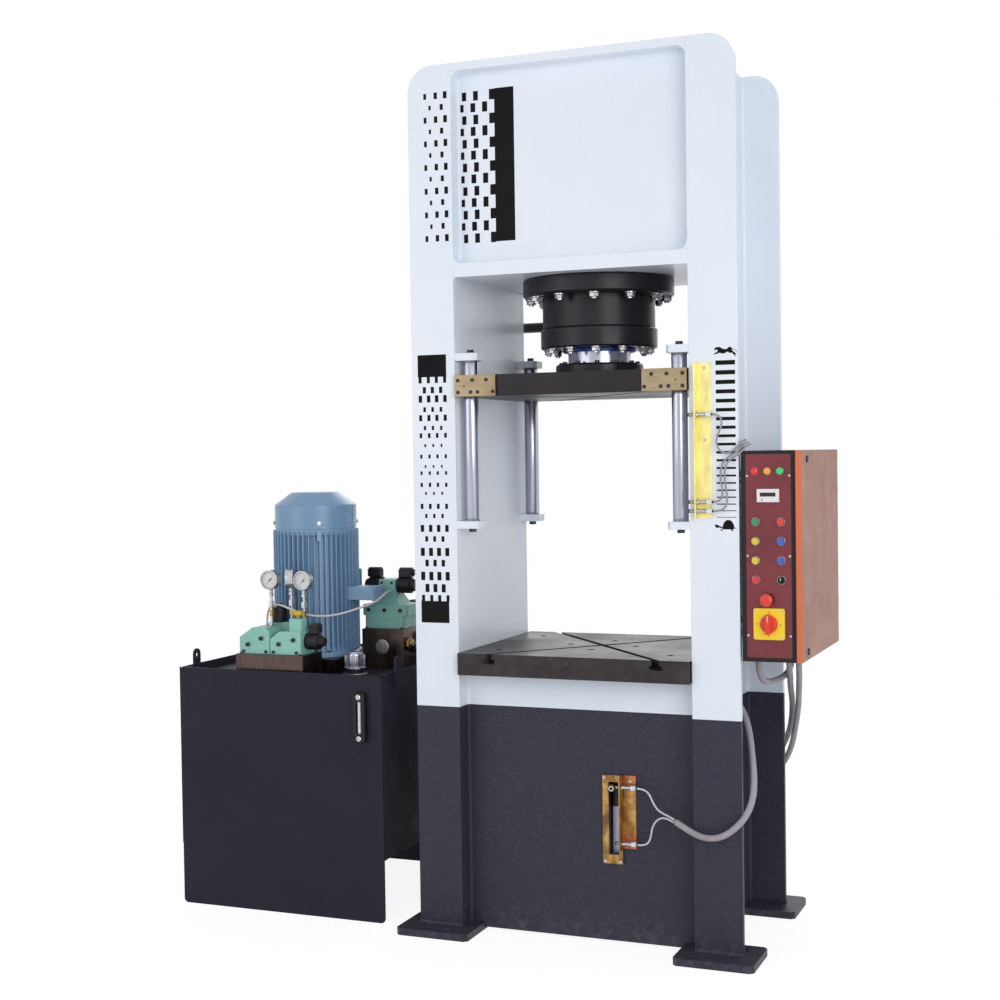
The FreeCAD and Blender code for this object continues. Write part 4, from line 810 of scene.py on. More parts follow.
# ---- marks on the paint -------------------------------------------------------------------
FILM = 0.3  # thickness of the black film


def mark(mesh, x, z, y):
    """A patch of black film on the front, between two values across and up."""
    block(mesh, x, (y - FILM, y), z)


def square(mesh, x, z, width, height, y):
    mark(mesh, (x - width / 2, x + width / 2), (z - height / 2, z + height / 2), y)


def crown_marks():
    """A black bar with a toothed edge, and rows of squares that shrink away from it."""
    mesh = bmesh.new()
    mark(mesh, (-264, -196), (2282, 2780), -FACE)
    even = [(-487, 10, 19), (-449, 12, 21), (-415, 13, 23), (-371, 15, 28), (-330, 17, 31), (-273, 18, 34)]
    odd = [(-470, 8, 15), (-428, 11, 19), (-379, 12, 24), (-340, 17, 29), (-298, 18, 33)]
    for rows, columns, top in ((7, even, 2762), (6, odd, 2724)):
        for k, (x, width, height) in product(range(rows), columns):
            square(mesh, x, top - 77.5 * k, width, height, -HALF_DEPTH if x < -WINDOW else -FACE)
    done(mesh, "crown_marks", PRESS, ["vinyl"], ease=0)


def column_marks():
    """Two toothed black blocks on the left column, with rows of squares that shrink to the middle."""
    mesh = bmesh.new()
    mark(mesh, (-528, -425), (1843, 1916), -HALF_DEPTH)
    mark(mesh, (-528, -427), (1030, 1102), -HALF_DEPTH)
    odd = [
        (1833, 20), (1771, 23), (1708, 20), (1650, 16), (1581, 13), (1526, 12), (1487, 14),
        (1416, 17), (1343, 23), (1265, 27), (1185, 28), (1112, 20),
    ]
    even = [
        (1800, 21), (1736, 16), (1675, 14), (1617, 10), (1548, 9), (1459, 10), (1384, 14),
        (1308, 18), (1228, 22), (1145, 27),
    ]
    for rows, columns in ((odd, (-520, -490, -461, -431)), (even, (-505, -476, -446))):
        for (z, height), x in product(rows, columns):
            square(mesh, x, z, 2 + 0.45 * height, height, -HALF_DEPTH)
    done(mesh, "column_marks", PRESS, ["vinyl"], ease=0)


def speed_scale():
    """Bars that thin out from a running animal down to a slow one."""
    repeated(
        ROW, "speed_scale", lambda mesh: block(mesh, (-30.5, 30.5), (-FILM, 0), (-7, 7)), "vinyl",
        PRESS, "black_sheet", (511.5, -HALF_DEPTH, 1856),
        count=20, step=(0, 0, -30.3), closing=(0, 0, 0.28), growth=(0, 0, -0.0455),
    )


def film(mesh, x, z, outline):
    """A flat shape of black film on a column, drawn round its own middle."""
    prism(mesh, [(x + a, -HALF_DEPTH, z + b) for a, b in outline], (0, -FILM, 0))


def scale_ends():
    """A plain leaping shape with a long tail, and a domed shell on two legs, both facing left."""
    mesh = bmesh.new()
    film(mesh, 512, 1888, [
        (-35, 8), (-33, 13), (-27, 16), (-17, 16), (-11, 12), (-4, 9), (4, 9), (9, 13), (14, 16),
        (19, 14), (21, 10), (27, 8), (33, 6), (36, 2), (34, -1), (33, 3), (30, 6), (24, 7), (20, 7),
        (23, 3), (28, -1), (31, -4), (36, -8), (33, -8), (30, -7), (33, -14), (30, -13), (26, -8),
        (20, -2), (15, -4), (10, -1), (6, 1), (0, -3), (-8, -5), (-14, -3), (-21, -2), (-27, -5),
        (-36, -6), (-36, -4), (-28, 0), (-24, 3), (-24, 7), (-28, 9), (-31, 6),
    ])
    x, z = 509, 1356
    film(mesh, x, z, [
        (-11, -12), (-10, 0), (-7, 8), (-2, 14), (4, 17), (11, 17), (17, 14), (22, 8), (25, 0),
        (26, -6), (36, -9), (26, -9), (22, -12),
    ])
    film(mesh, x, z, [
        (-11, -9), (-24, -6), (-28, -9), (-31, -7), (-31, -4), (-34, -4), (-36, 0), (-33, 3), (-28, 3),
        (-22, -1), (-11, -5),
    ])
    for foot in (-14, 19):
        film(mesh, x + foot, z - 14, [(3.2 * math.cos(k), 3.2 * math.sin(k)) for k in range(6)])
    done(mesh, "scale_ends", PRESS, ["vinyl"], ease=0)


frame_plates()
weld_fillets()
column_joints()
crown_marks()
column_marks()
speed_scale()
scale_ends()


# ---- die plates and pillars ---------------------------------------------------------------
def die_plates():
    eased("bolster_plate", ["bolster"], PRESS, ["bolster_top"], 1.2)
    eased("ram_platen", ["platen"], "press_slide", ["platen_steel"], 1.2)
    eased("guide_bronzes", ["bronze_guide_plates"], "press_slide", ["bronze"], 0.8)
    eased("cushion_top", ["cushion_table"], "cushion", ["bolster_top"], 1.2)


def hole_rims():
    """Turned rims in the bolster's holes, so that they read as round."""
    mesh = bmesh.new()
    spots = [(115, 0), (-115, 0), (0, 125), (0, -125), (295, 205), (-295, 205), (295, -205), (-295, -205)]
    for x, y in spots:
        section = [(10.4, 895), (11.6, 895), (11.6, 934.2), (10.9, 934.2), (10.4, 933.6)]
        turned(mesh, section, (x, y, 0), sides=32)
    done(mesh, "bolster_bushes", PRESS, ["black_oxide"], ease=0)


def guide_screws():
    """Slotted screws and the grease hole of each front and rear bronze plate."""
    mesh = bmesh.new()
    width, plate_face, lefts = 145, 327, {-1: -392, 1: 247}
    for x_side, y_side in product(SIDES, SIDES):
        face, way, left = y_side * plate_face, (0, y_side, 0), lefts[x_side]
        for z, shares in ((1828, (0.22, 0.56, 0.91)), (1789, (0.06, 0.43, 0.6, 0.91))):
            for share in shares:
                across = left + width * (share if x_side > 0 else 1 - share)
                slotted_screw(mesh, (across, face - y_side * 1.6, z), 6.4, way)
        grease = (left + width * (0.76 if x_side > 0 else 0.24), face - y_side * 1.5, 1808)
        turned(mesh, [(0, 0), (3.4, 0), (3.4, 1.6), (1.4, 1.6), (1.4, 0.4), (0, 0.4)], grease, way, 16)
    done(mesh, "guide_screws", "press_slide", ["black_oxide"], ease=0)


def pillars():
    mesh, screws = bmesh.new(), bmesh.new()
    for x, y in product((-355, 355), (-275, 275)):
        section = [(0, 1367), (24, 1367), (25, 1369), (25, 1891), (24, 1893), (0, 1893)]
        turned(mesh, section, (x, y, 0), sides=64)
        for z, way in ((1342, -1), (1918, 1)):
            bar(screws, (x, y, z), 2, 13, (0, 0, way))
            hexagon(screws, (x, y, z + way * 2), 10, 12.5, (0, 0, way))
    done(mesh, "pillars", PRESS, ["chrome"], ["guide_pillars"], ease=0)
    done(screws, "pillar_screws", PRESS, ["black_oxide"], ["press_bolts"], ease=0.3)


die_plates()
hole_rims()
guide_screws()
pillars()


# ---- main cylinder ------------------------------------------------------------------------
def cylinder():
    """Barrel, gland and blue wiper; the ram, and the ring that holds the platen."""
    paint = "cylinder_paint"
    lathed("barrel", PRESS, paint, [
        (140, 1999), (186, 1999), (189, 2002), (189, 2104), (244, 2104), (248, 2106), (254, 2112),
        (254, 2160), (250, 2166), (189, 2166), (189, 2634), (183, 2640), (0, 2640), (0, 2590),
        (140, 2590),
    ], ["cylinder_barrel"], 0.8)
    lathed("gland", PRESS, paint, [
        (105.2, 1946), (120, 1946), (120, 1933), (190, 1933), (193, 1934), (196, 1938), (196, 1996),
        (193, 1999), (140, 1999), (140, 2059), (105.2, 2059),
    ], ["cylinder_gland"], 0.5)
    lathed("wiper", PRESS, "wiper_blue", [
        (105.2, 1924), (107, 1921.5), (119, 1921.5), (122, 1923), (122, 1931), (120, 1933),
        (120, 1946), (105.2, 1946),
    ], ["cylinder_gland"], 0.3)
    lathed("ram", "press_slide", "chrome", [
        (0, 1845), (105, 1845), (105, 2462), (139.9, 2462), (139.9, 2562), (0, 2562),
    ], ["press_ram"], 0.5)
    lathed("ram_ring", "press_slide", paint, [
        (105, 1845), (147, 1845), (147, 1876), (143, 1882), (112, 1882), (108, 1879), (105, 1879),
    ], ["press_ram"], 0.5)


def stud(length):
    """A nut on its washer with the stud's end below it, drawn from the face down."""
    def draw(mesh):
        bar(mesh, (0, 0, -3), 3, 1.22 * length)
        hexagon(mesh, (0, 0, -16), 13, length)
        bar(mesh, (0, 0, -21), 6, 0.56 * length, sides=16)
    return draw


def cylinder_screws():
    turn = math.radians(15)
    for name, size, z, radius in (("flange_nuts", 16, 2104, 228), ("gland_nuts", 14.5, 1933, 170)):
        repeated(
            RING, name, stud(size), "bright_zinc", PRESS, "dark_steel", (0, 0, z),
            stands_for=["press_bolts"], count=12, circle_radius=radius, first_angle=turn,
        )
    repeated(
        RING, "ring_screws", lambda mesh: cap_screw(mesh, (0, 0, 0), 8, UP), "black_oxide",
        "press_slide", "dark_steel", (0, 0, 1882), count=12, circle_radius=128, first_angle=turn,
    )


cylinder()
cylinder_screws()


# ---- position switches --------------------------------------------------------------------
def switch(mesh, tip, plate, threaded):
    """A switch along X: dark sensing tip, threaded barrel, two thin nuts and a pale plug end."""
    section = [(0, 0, 1), (5.5, 0, 1), (5.8, 0.6, 1), (5.8, 5, 1)]
    height = 5.5
    while height < threaded - 1:
        section += [(6.0, height), (5.45, height + 0.75)]
        height += 1.5
    end = threaded + 20
    section += [(5.8, threaded), (8, threaded, 2), (8, end - 6, 2), (5, end - 4, 2)]
    section += [(4, end, 1), (0, end, 1)]
    turned(mesh, section, tip, RIGHT, 16)
    for x in (plate - 4, plate + 4):
        hexagon(mesh, (x, tip[1], tip[2]), 4, 9.5, RIGHT)


def switches():
    eased(
        "switch_plates", ["switch_mounts"], PRESS, ["zinc_yellow", "old_brass"], 0.5,
        choose=lambda middle, way: 1 if middle.z < 1000 else 0,
    )
    mesh = bmesh.new()
    for z in (1698, 1429, 1401):
        switch(mesh, (397, -335, z), 421, 58)
    for z in (514, 333):
        switch(mesh, (126, -275, z), 144, 54)
    finishes = ["bright_zinc", "lead_black", "white_plastic"]
    done(mesh, "limit_switches", PRESS, finishes, ["position_switches"], ease=0)
    mesh = bmesh.new()
    for z in (1400, 1620, 1842):
        slotted_screw(mesh, (446, -318, z), 5)
    for z, x in product((268, 539), (84, 136)):
        slotted_screw(mesh, (x, -253, z), 4.5)
    for z in (330, 530):
        slotted_screw(mesh, (170, -249, z), 5)
    bright_screws(mesh, "mount_screws")


def trip_bar():
    """The rod with its trip bar, and the round head that the lower switches sense."""
    eased("rod_and_trip", ["cushion_rod"], "cushion", ["trip_steel"], 0.5)
    section = [(0, 0), (11.3, 0), (11.3, 8), (10, 11), (8.2, 13.2), (5.2, 13.2), (4.6, 9), (0, 9)]
    lathed("trip_head", "cushion", "bright_zinc", section, (), 0.3, (113, -262, 508), FRONT, 32)


switches()
trip_bar()


# ---- cabinet ------------------------------------------------------------------------------
PANEL = -323  # front face of the control panel
# Each button's place across and up, and its finish.
BUTTONS = {
    "start_button": (603, 1368, "green_plastic"),
    "stop_button": (681, 1368, "red_plastic"),
    "ram_up_button": (603, 1309, "yellow_plastic"),
    "ram_down_button": (681, 1309, "blue_plastic"),
    "cushion_up_button": (603, 1250, "yellow_plastic"),
    "cushion_down_button": (681, 1250, "blue_plastic"),
    "reset_button": (603, 1191, "red_plastic"),
}
SELECTOR = (681, 1191)
STOP = (638, 1131)
ISOLATOR = (643, 1057)


def gear_finish(middle, way):
    """Grey switchgear with black upper parts, on a zinc plate."""
    if middle.x < 572:
        return 2
    return 1 if middle.z > 1150 else 0


def cabinet():
    eased("cabinet_body", ["cabinet_shell"], PRESS, ["cabinet_black"], 1.2, 3)
    eased("panel_sheet", ["control_panel"], PRESS, ["panel_film"], 0.5)
    # Door faces that turn to the right get the darker copy of the orange: painted shade.
    eased(
        "door_pan", ["cabinet_door"], "cabinet_door", ["door_orange", "door_taupe"], 1.2, 3,
        choose=lambda middle, way: 1 if way.x > 0.5 and middle.x > 735 else 0,
    )
    finishes = ["gear_grey", "black_plastic", "bright_zinc"]
    eased("gear", ["cabinet_gear"], PRESS, finishes, 1.0, choose=gear_finish)
    mesh = bmesh.new()
    outer, inner = ((566, 719), (946, 1580), 9), ((573, 712), (953, 1574), 5)
    corners = ((outer, 3), (outer, -1.5), (inner, -1.5), (inner, 3))
    skin(mesh, [rounded(*shape, PANEL + depth) for shape, depth in corners], closed=True)
    done(mesh, "panel_trim", PRESS, ["cabinet_black"], ease=0.7)
    mesh = bmesh.new()
    for z, x in product((1508, 1264, 1021), (577.5, 707.5)):
        slotted_screw(mesh, (x, PANEL + 0.4, z), 3.6)
    bright_screws(mesh, "panel_screws")
    mesh = bmesh.new()
    for foot, way, corner, length in (
        ((572, -170, 940), DOWN, 14, 14), ((618, 130, 940), DOWN, 14, 14), ((633, 0, 940), DOWN, 14, 18),
        ((662, 14, 940), DOWN, 14, 18), ((558, -140, 1010), LEFT, 14, 12), ((558, -232, 1513), LEFT, 11, 12),
    ):
        hexagon(mesh, foot, length * 0.55, corner * 1.12, way)
        section = [(0, 0), (corner, 0), (corner, length - 3), (corner - 3, length), (0, length)]
        turned(mesh, section, foot, way)
    done(mesh, "gland_nuts_of_cabinet", PRESS, ["black_plastic"], ease=0)


def lamps():
    for x, finish in ((601, "red_lens"), (640, "amber_lens"), (679, "green_lens")):
        mesh = bmesh.new()
        rim = [(0, 0, 1), (12, 0, 1), (12, 2, 1), (11.6, 2.6, 1), (11.2, 2.6, 1)]
        lens = [(11.2, 2.6), (11, 6.5), (9.6, 9.4), (6.5, 11.4), (0, 12)]
        turned(mesh, rim + lens, (x, PANEL, 1522), FRONT, 40)
        name = finish.replace("lens", "lamp")
        done(mesh, name, PRESS, [finish, "bright_zinc"], ["panel_fittings"], ease=0)


def counter_and_plate():
    mesh = bmesh.new()
    block(mesh, (609, 677), (PANEL - 9, PANEL), (1428, 1468))
    block(mesh, (617, 669), (PANEL - 9.6, PANEL - 8.5), (1443, 1459), 2)
    block(mesh, (619, 667), (PANEL - 9.9, PANEL - 9.2), (1445, 1457), 1)
    bar(mesh, (625, PANEL - 8.5, 1435), 1.3, 2.2, FRONT, 16, 1)
    for k in range(5):
        block(mesh, (640 + 5.4 * k, 642.6 + 5.4 * k), (PANEL - 9.4, PANEL - 8.5), (1433.5, 1436), 2)
    finishes = ["counter_white", "dark_window", "white_plastic"]
    done(mesh, "counter", PRESS, finishes, ["panel_fittings"], 0.5)
    plate, marks, screws = bmesh.new(), bmesh.new(), bmesh.new()
    prism(plate, rounded((595, 691), (1009, 1105), 7, PANEL), (0, -8, 0))
    done(plate, "isolator_plate", PRESS, ["yellow_plate"], ["panel_fittings"], 0.8)
    x, z = ISOLATOR
    for k in range(4):
        angle = math.pi / 2 * k
        a, c = x + 36 * math.cos(angle), z + 36 * math.sin(angle)
        block(marks, (a - 1, a + 1), (PANEL - 8.2, PANEL - 7.8), (c - 3, c + 3))
    done(marks, "isolator_marks", PRESS, ["vinyl"], ease=0)
    for dx, dz in product((-41, 41), (-41, 41)):
        slotted_screw(screws, (x + dx, PANEL - 7.6, z + dz), 3)
    bright_screws(screws, "isolator_screws")


def buttons():
    mesh = bmesh.new()
    for x, z in [spot[:2] for spot in BUTTONS.values()] + [SELECTOR]:
        section = [(11.5, 0), (14, 0), (14, 2), (12.6, 4.4), (11.5, 4.4)]
        turned(mesh, section, (x, PANEL, z), FRONT, 40)
    stop = (STOP[0], PANEL, STOP[1])
    turned(mesh, [(10, 0), (19, 0), (19, 3), (15, 8), (10, 8)], stop, FRONT, 40, 1)
    done(mesh, "button_bezels", PRESS, ["bright_zinc", "cabinet_black"], ease=0.3)
    for node, (x, z, finish) in BUTTONS.items():
        name = node.replace("button", "cap")
        lathed(name, node, finish, [
            (0, -16), (8, -16), (8, 7), (11, 7), (11, 12), (10.4, 13), (9, 13.4), (7.6, 12.6), (0, 12.2),
        ], [node], 0.3, (x, PANEL, z), FRONT, 40)
    lathed("stop_mushroom", "emergency_stop", "red_plastic", [
        (0, -20), (8, -20), (8, 13), (10, 15), (17.5, 18), (19.6, 20.5), (20, 23), (19.4, 26),
        (16, 29), (10, 31.3), (0, 32),
    ], ["emergency_stop"], 0, stop, FRONT, 48)


def levers():
    """The selector's and the isolator's handles, each with a white pointer line."""
    x, z = SELECTOR
    mesh = bmesh.new()
    section = [(0, -14), (8, -14), (8, 0.5), (11, 0.5), (11, 7), (10, 8), (0, 8)]
    turned(mesh, section, (x, PANEL, z), FRONT, 40)
    outline = [(-4, -10), (4, -10), (4.4, 0), (4, 8), (0, 10), (-4, 8), (-4.4, 0)]
    prism(mesh, [(x + a, PANEL - 8, z + b) for a, b in outline], (0, -9, 0))
    block(mesh, (x - 0.9, x + 0.9), (PANEL - 17.2, PANEL - 16.8), (z - 1, z + 8), 1)
    finishes = ["black_plastic", "white_plastic"]
    done(mesh, "selector_lever", "selector", finishes, ["selector_knob"], 0.6)
    x, z = ISOLATOR
    mesh = bmesh.new()
    face = PANEL - 8
    section = [(0, -24), (8, -24), (8, 0.5), (27, 0.5), (27, 5), (24.5, 8), (21, 9), (0, 9)]
    turned(mesh, section, (x, face, z), FRONT, 56)
    outline = [
        (-6.5, -30), (6.5, -30), (8, -18), (9, 0), (8, 18), (6.5, 30), (-6.5, 30), (-8, 18), (-9, 0),
        (-8, -18),
    ]
    prism(mesh, [(x + a, face - 3, z + b) for a, b in outline], (0, -21, 0))
    block(mesh, (x - 1.2, x + 1.2), (face - 24.2, face - 23.8), (z + 8, z + 26), 1)
    finishes = ["red_handle", "white_plastic"]
    done(mesh, "isolator_lever", "isolator", finishes, ["isolator_handle"], 1.2, 3)


def door_locks():
    for place, z, way in (("upper", 1557, -1), ("lower", 965, 1)):
        mesh = bmesh.new()
        turned(mesh, [
            (0, 0), (8, 0), (8, 27.3), (10.5, 27.3), (10.5, 30), (9.6, 32), (4, 32), (3.4, 29), (0, 29),
        ], (716, -236, z), RIGHT, 40)
        block(mesh, (716, 719), (-244, -228), (z, z + way * 70))
        block(mesh, (744, 747.6), (-237.2, -234.8), (z - 2.6, z + 2.6), 1)
        finishes, node = ["black_oxide", "bright_zinc"], f"{place}_door_lock"
        done(mesh, f"{place}_cam", f"{place}_lock", finishes, [node], 0.4)


cabinet()
lamps()
counter_and_plate()
buttons()
levers()
door_locks()


# ---- tank ---------------------------------------------------------------------------------
TANK_FRONT = -305
TANK_SHEET = 5
TANK_FLOOR = 214
LID_TOP = 815
RIM = 844
# Inner faces of the tank's walls, each with the way to the tank's middle.
WALL_LEFT, WALL_RIGHT, WALL_FRONT, WALL_BACK = -1482, -692, TANK_FRONT + TANK_SHEET, 490
SIDE_WALLS = ((WALL_LEFT, 1), (WALL_RIGHT, -1))
END_WALLS = ((WALL_FRONT, 1), (WALL_BACK, -1))
SIGHT = (-765.5, -317, 699.5)
FILLER = (-890, -105)


def tank():
    def front_corner(middle, length):
        at_end = min(abs(middle.z), abs(middle.z - RIM)) < 1
        return at_end and middle.y < WALL_FRONT + 1 and length < TANK_SHEET + 1

    eased(
        "tank_body", ["tank_plates"], PRESS, ["tank_paint"], 1.5, 3,
        round_off=(16, front_corner),
    )
    eased("tank_cover", ["tank_lid"], PRESS, ["tank_paint"], 1.0)
    mesh = bmesh.new()
    for x, inward in SIDE_WALLS:
        for y, back in END_WALLS:
            seam(mesh, (x, y, TANK_FLOOR), (x, y, LID_TOP - 3), (inward, 0, 0), (0, back, 0), 6)
        outside = x - inward * TANK_SHEET
        low, high = (outside, WALL_FRONT, TANK_FLOOR), (outside, WALL_FRONT, RIM)
        seam(mesh, low, high, (-inward, 0, 0), (0, 1, 0), 5)
    for y, back in END_WALLS:
        seam(mesh, (WALL_LEFT, y, LID_TOP), (WALL_RIGHT, y, LID_TOP), (0, back, 0), UP, 6)
    done(mesh, "tank_welds", PRESS, ["tank_paint"], ease=0)
    mesh = bmesh.new()
    for x, y in product((-1465, -1290, -930, -712), (-278, 470)):
        hexagon(mesh, (x, y, LID_TOP), 6, 8.5)
        bar(mesh, (x, y, LID_TOP - 1), 2, 10)
    bright_screws(mesh, "lid_screws")


def sight_glass():
    """A black frame with a long window, its two screws, and the tube with its white float."""
    surround, screws, tube, float_rod = (bmesh.new() for _ in range(4))
    x, y, z = SIGHT
    outer = rounded((-789, -742), (613, 786), 16, TANK_FRONT)
    window = rounded((-775, -756), (645, 755), 8, TANK_FRONT)
    outlines = []
    steps = ((outer, 0, 0), (outer, 16, 0), (outer, 20, 2), (window, 20, 0), (window, 4, 0))
    for shape, depth, shrink in steps:
        outline = []
        for a, b, c in shape:
            outline.append((a - math.copysign(shrink, a - x), b - depth, c - math.copysign(shrink, c - z)))
        outlines.append(outline)
    skin(surround, outlines, closed=False)
    done(surround, "sight_frame", PRESS, ["black_plastic"], ["sight_gauge"], ease=0)
    for height in (629, 770):
        section = [(0, 0), (9, 0), (9, 4), (7, 5.5), (4, 5.5), (3.6, 3), (0, 3)]
        turned(screws, section, (x, -324, height), FRONT, 32)
    bright_screws(screws, "sight_screws", ["sight_gauge"])
    bar(tube, (x, y, 646), 108, 7.4, sides=32)
    done(tube, "sight_tube", PRESS, ["clear_glass"], ["sight_gauge"], ease=0)
    bar(float_rod, (x, y, 646.5), 107, 5.6)
    done(float_rod, "sight_float", PRESS, ["white_plastic"], ease=0)


def filler():
    x, y = FILLER
    lathed("cap_shell", "filler_cap", "chrome", [
        (0, 835), (41, 835), (41, 841), (39.5, 843), (36, 844), (33.5, 846), (33.5, 884), (31, 891),
        (26, 896), (18, 899), (0, 900),
    ], ["filler_cap"], 0.5, (x, y, 0), sides=64)

    def flute(mesh):
        prism(mesh, [(-0.5, -2.6, -19), (2.9, -1.4, -19), (2.9, 1.4, -19), (-0.5, 2.6, -19)], (0, 0, 37))

    repeated(
        RING, "cap_flutes", flute, "chrome", "filler_cap", "chrome", (x, y, 866),
        count=22, circle_radius=33.2, first_angle=0.0,
    )
    section = [(20, 0), (44, 0), (44, 4), (41, 6), (26, 6), (24, 20), (20, 20)]
    foot = (x, y, LID_TOP)
    lathed("filler_flange", PRESS, "bright_zinc", section, (), 0.5, foot, sides=48)


tank()
sight_glass()
filler()


# ---- motor --------------------------------------------------------------------------------
MOTOR = (-1112, 30)


def motor():
    x, y = MOTOR
    lathed("motor_shell", PRESS, "motor_blue", [
        (25.2, 865), (158, 865), (162, 868), (162, 882), (158, 885), (146, 886), (140, 900), (136, 906),
        (136, 1300), (143, 1304), (146, 1310), (146, 1327), (25.2, 1327), (25.2, 1307), (95, 1307),
        (95, 895), (25.2, 895),
    ], ["motor_housing"], 1.0, (x, y, 0))

    def fin(mesh):
        prism(mesh, [(-2, -3.1, 0), (19.2, -1.7, 0), (19.2, 1.7, 0), (-2, 3.1, 0)], (0, 0, 429))

    repeated(
        RING, "motor_fins", fin, "motor_blue", PRESS, "motor_blue", (x, y, 890),
        stands_for=["motor_housing"], count=48, circle_radius=136, first_angle=0.065,
    )
    mesh = bmesh.new()
    block(mesh, (x + 130, -866), (y - 41, y + 41), (1068, 1116))
    block(mesh, (-868, -860), (y - 45, y + 45), (1066, 1118))
    block(mesh, (x - 56, x + 56), (y + 130, y + 238), (1053, 1157))
    block(mesh, (x - 60, x + 60), (y + 236, y + 245), (1050, 1160))
    for angle in (-57, 33, 123, 213):
        out = Vector((math.cos(math.radians(angle)), math.sin(math.radians(angle)), 0))
        middle = Vector((x, y, 1284)) + out * 148
        side = Vector((-out.y, out.x, 0))
        outline = [middle + side * a + out * b for a, b in ((-8, -8), (8, -8), (8, 7), (-8, 7))]
        prism(mesh, outline, (0, 0, 38))
    turned(mesh, [(0, 0), (14, 0), (14, 11), (11, 14), (0, 14)], (x, y + 215, 1036), UP, 32)
    done(mesh, "motor_boxes", PRESS, ["motor_blue"], ["motor_housing"], 2.0, 3)
    mesh = bmesh.new()
    for dy, z in product((-36, 36), (1074, 1110)):
        cap_screw(mesh, (-860, y + dy, z), 4, RIGHT)
    for dx, z in product((-50, 50), (1060, 1150)):
        cap_screw(mesh, (x + dx, y + 245, z), 4.5, (0, 1, 0))
    for k in range(4):
        angle = math.radians(45 + 90 * k)
        hexagon(mesh, (x + 150 * math.cos(angle), y + 150 * math.sin(angle), 884), 9, 9)
    bright_screws(mesh, "motor_screws")


def cowl():
    x, y = MOTOR
    lathed("fan_cowl", PRESS, "cowl_blue", [
        (145.5, 1327), (148.5, 1327), (148.5, 1334), (147.6, 1336), (148.5, 1338), (148.5, 1408),
        (146, 1413), (92, 1453), (88, 1456), (0, 1456), (0, 1453), (87, 1453), (145.5, 1409),
    ], ["motor_cowl"], 0.8, (x, y, 0))
    mesh = bmesh.new()
    for k in range(4):
        angle = math.radians(-57 + 90 * k)
        way = Vector((math.cos(angle), math.sin(angle), 0))
        foot = Vector((x, y, 1348)) + way * 147
        bar(mesh, foot, 3, 7.5, way)
        hexagon(mesh, foot + way * 3, 5, 6.5, way)
    bright_screws(mesh, "cowl_screws")
    # Black film strips on the cowl's top stand for its air slits: painted shade where the openings would be.
    repeated(
        RING, "cowl_slits", lambda mesh: block(mesh, (-22, 22), (-1.6, 1.6), (-0.2, 0.5)), "vinyl",
        PRESS, "motor_blue", (x, y, 1455.5), count=24, circle_radius=60, first_angle=0.0,
    )


def plain_nodes():
    """CAD solids that keep their shape and get a better finish."""
    for node, finish, slot in (
        ("motor_rotor", "black_oxide", "dark_steel"),
        ("pump_body", "gear_grey", "brown_steel"),
        ("cushion_barrel", "cylinder_paint", "cylinder_paint"),
    ):
        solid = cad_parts[node]
        solid.data.materials.clear()
        solid.data.materials.append(FINISHES[finish])


motor()
cowl()
plain_nodes()


# ---- valves -------------------------------------------------------------------------------
def manifolds():
    eased("manifolds", ["manifold_blocks"], PRESS, ["brown_steel"], 1.2)
    mesh = bmesh.new()
    turned(mesh, [(0, 0), (27, 0), (27, 2), (25, 3), (0, 3)], (-863, 59, 893), FRONT, 40, 2)
    for z, y in ((905, 100), (925, 190)):
        hexagon(mesh, (-781, y, z), 13, 21, RIGHT, 1)
        turned(mesh, [(0, 0), (13, 0), (13, 6), (10, 9), (0, 9)], (-768, y, z), RIGHT, 24, 1)
    for x, y in product((-935, -794), (78, 212)):
        cap_screw(mesh, (x, y, 957), 6, UP)
    for x, y in product((-1252, -1015), (-276, -154)):
        cap_screw(mesh, (x, y, 897), 5, UP)
    finishes = ["brown_steel", "brass", "drawn_steel"]
    done(mesh, "manifold_fittings", PRESS, finishes, ease=0.4)


def valves():
    eased("valve_castings", ["valve_bodies"], PRESS, ["mint_paint"], 3.0, 4)
    mesh = bmesh.new()
    for x, z in ((-1244, 958), (-1146, 970), (-1120, 956), (-1022, 966)):
        bar(mesh, (x, -236, z), 4, 8)
    for radius, y, places in (
        (7.5, -275, ((-1222, 930), (-1168, 952), (-1098, 934), (-1040, 950))),
        (5.5, -275, ((-1240, 906), (-1150, 906), (-1120, 906), (-1028, 906))),
        (6.5, 87, ((-930, 1024), (-866, 1024), (-802, 1024))),
        (4.5, 109, ((-886, 1122), (-846, 1122))),
    ):
        for x, z in places:
            cap_screw(mesh, (x, y, z), radius, FRONT)
    done(mesh, "valve_screws", PRESS, ["black_oxide"], ease=0)


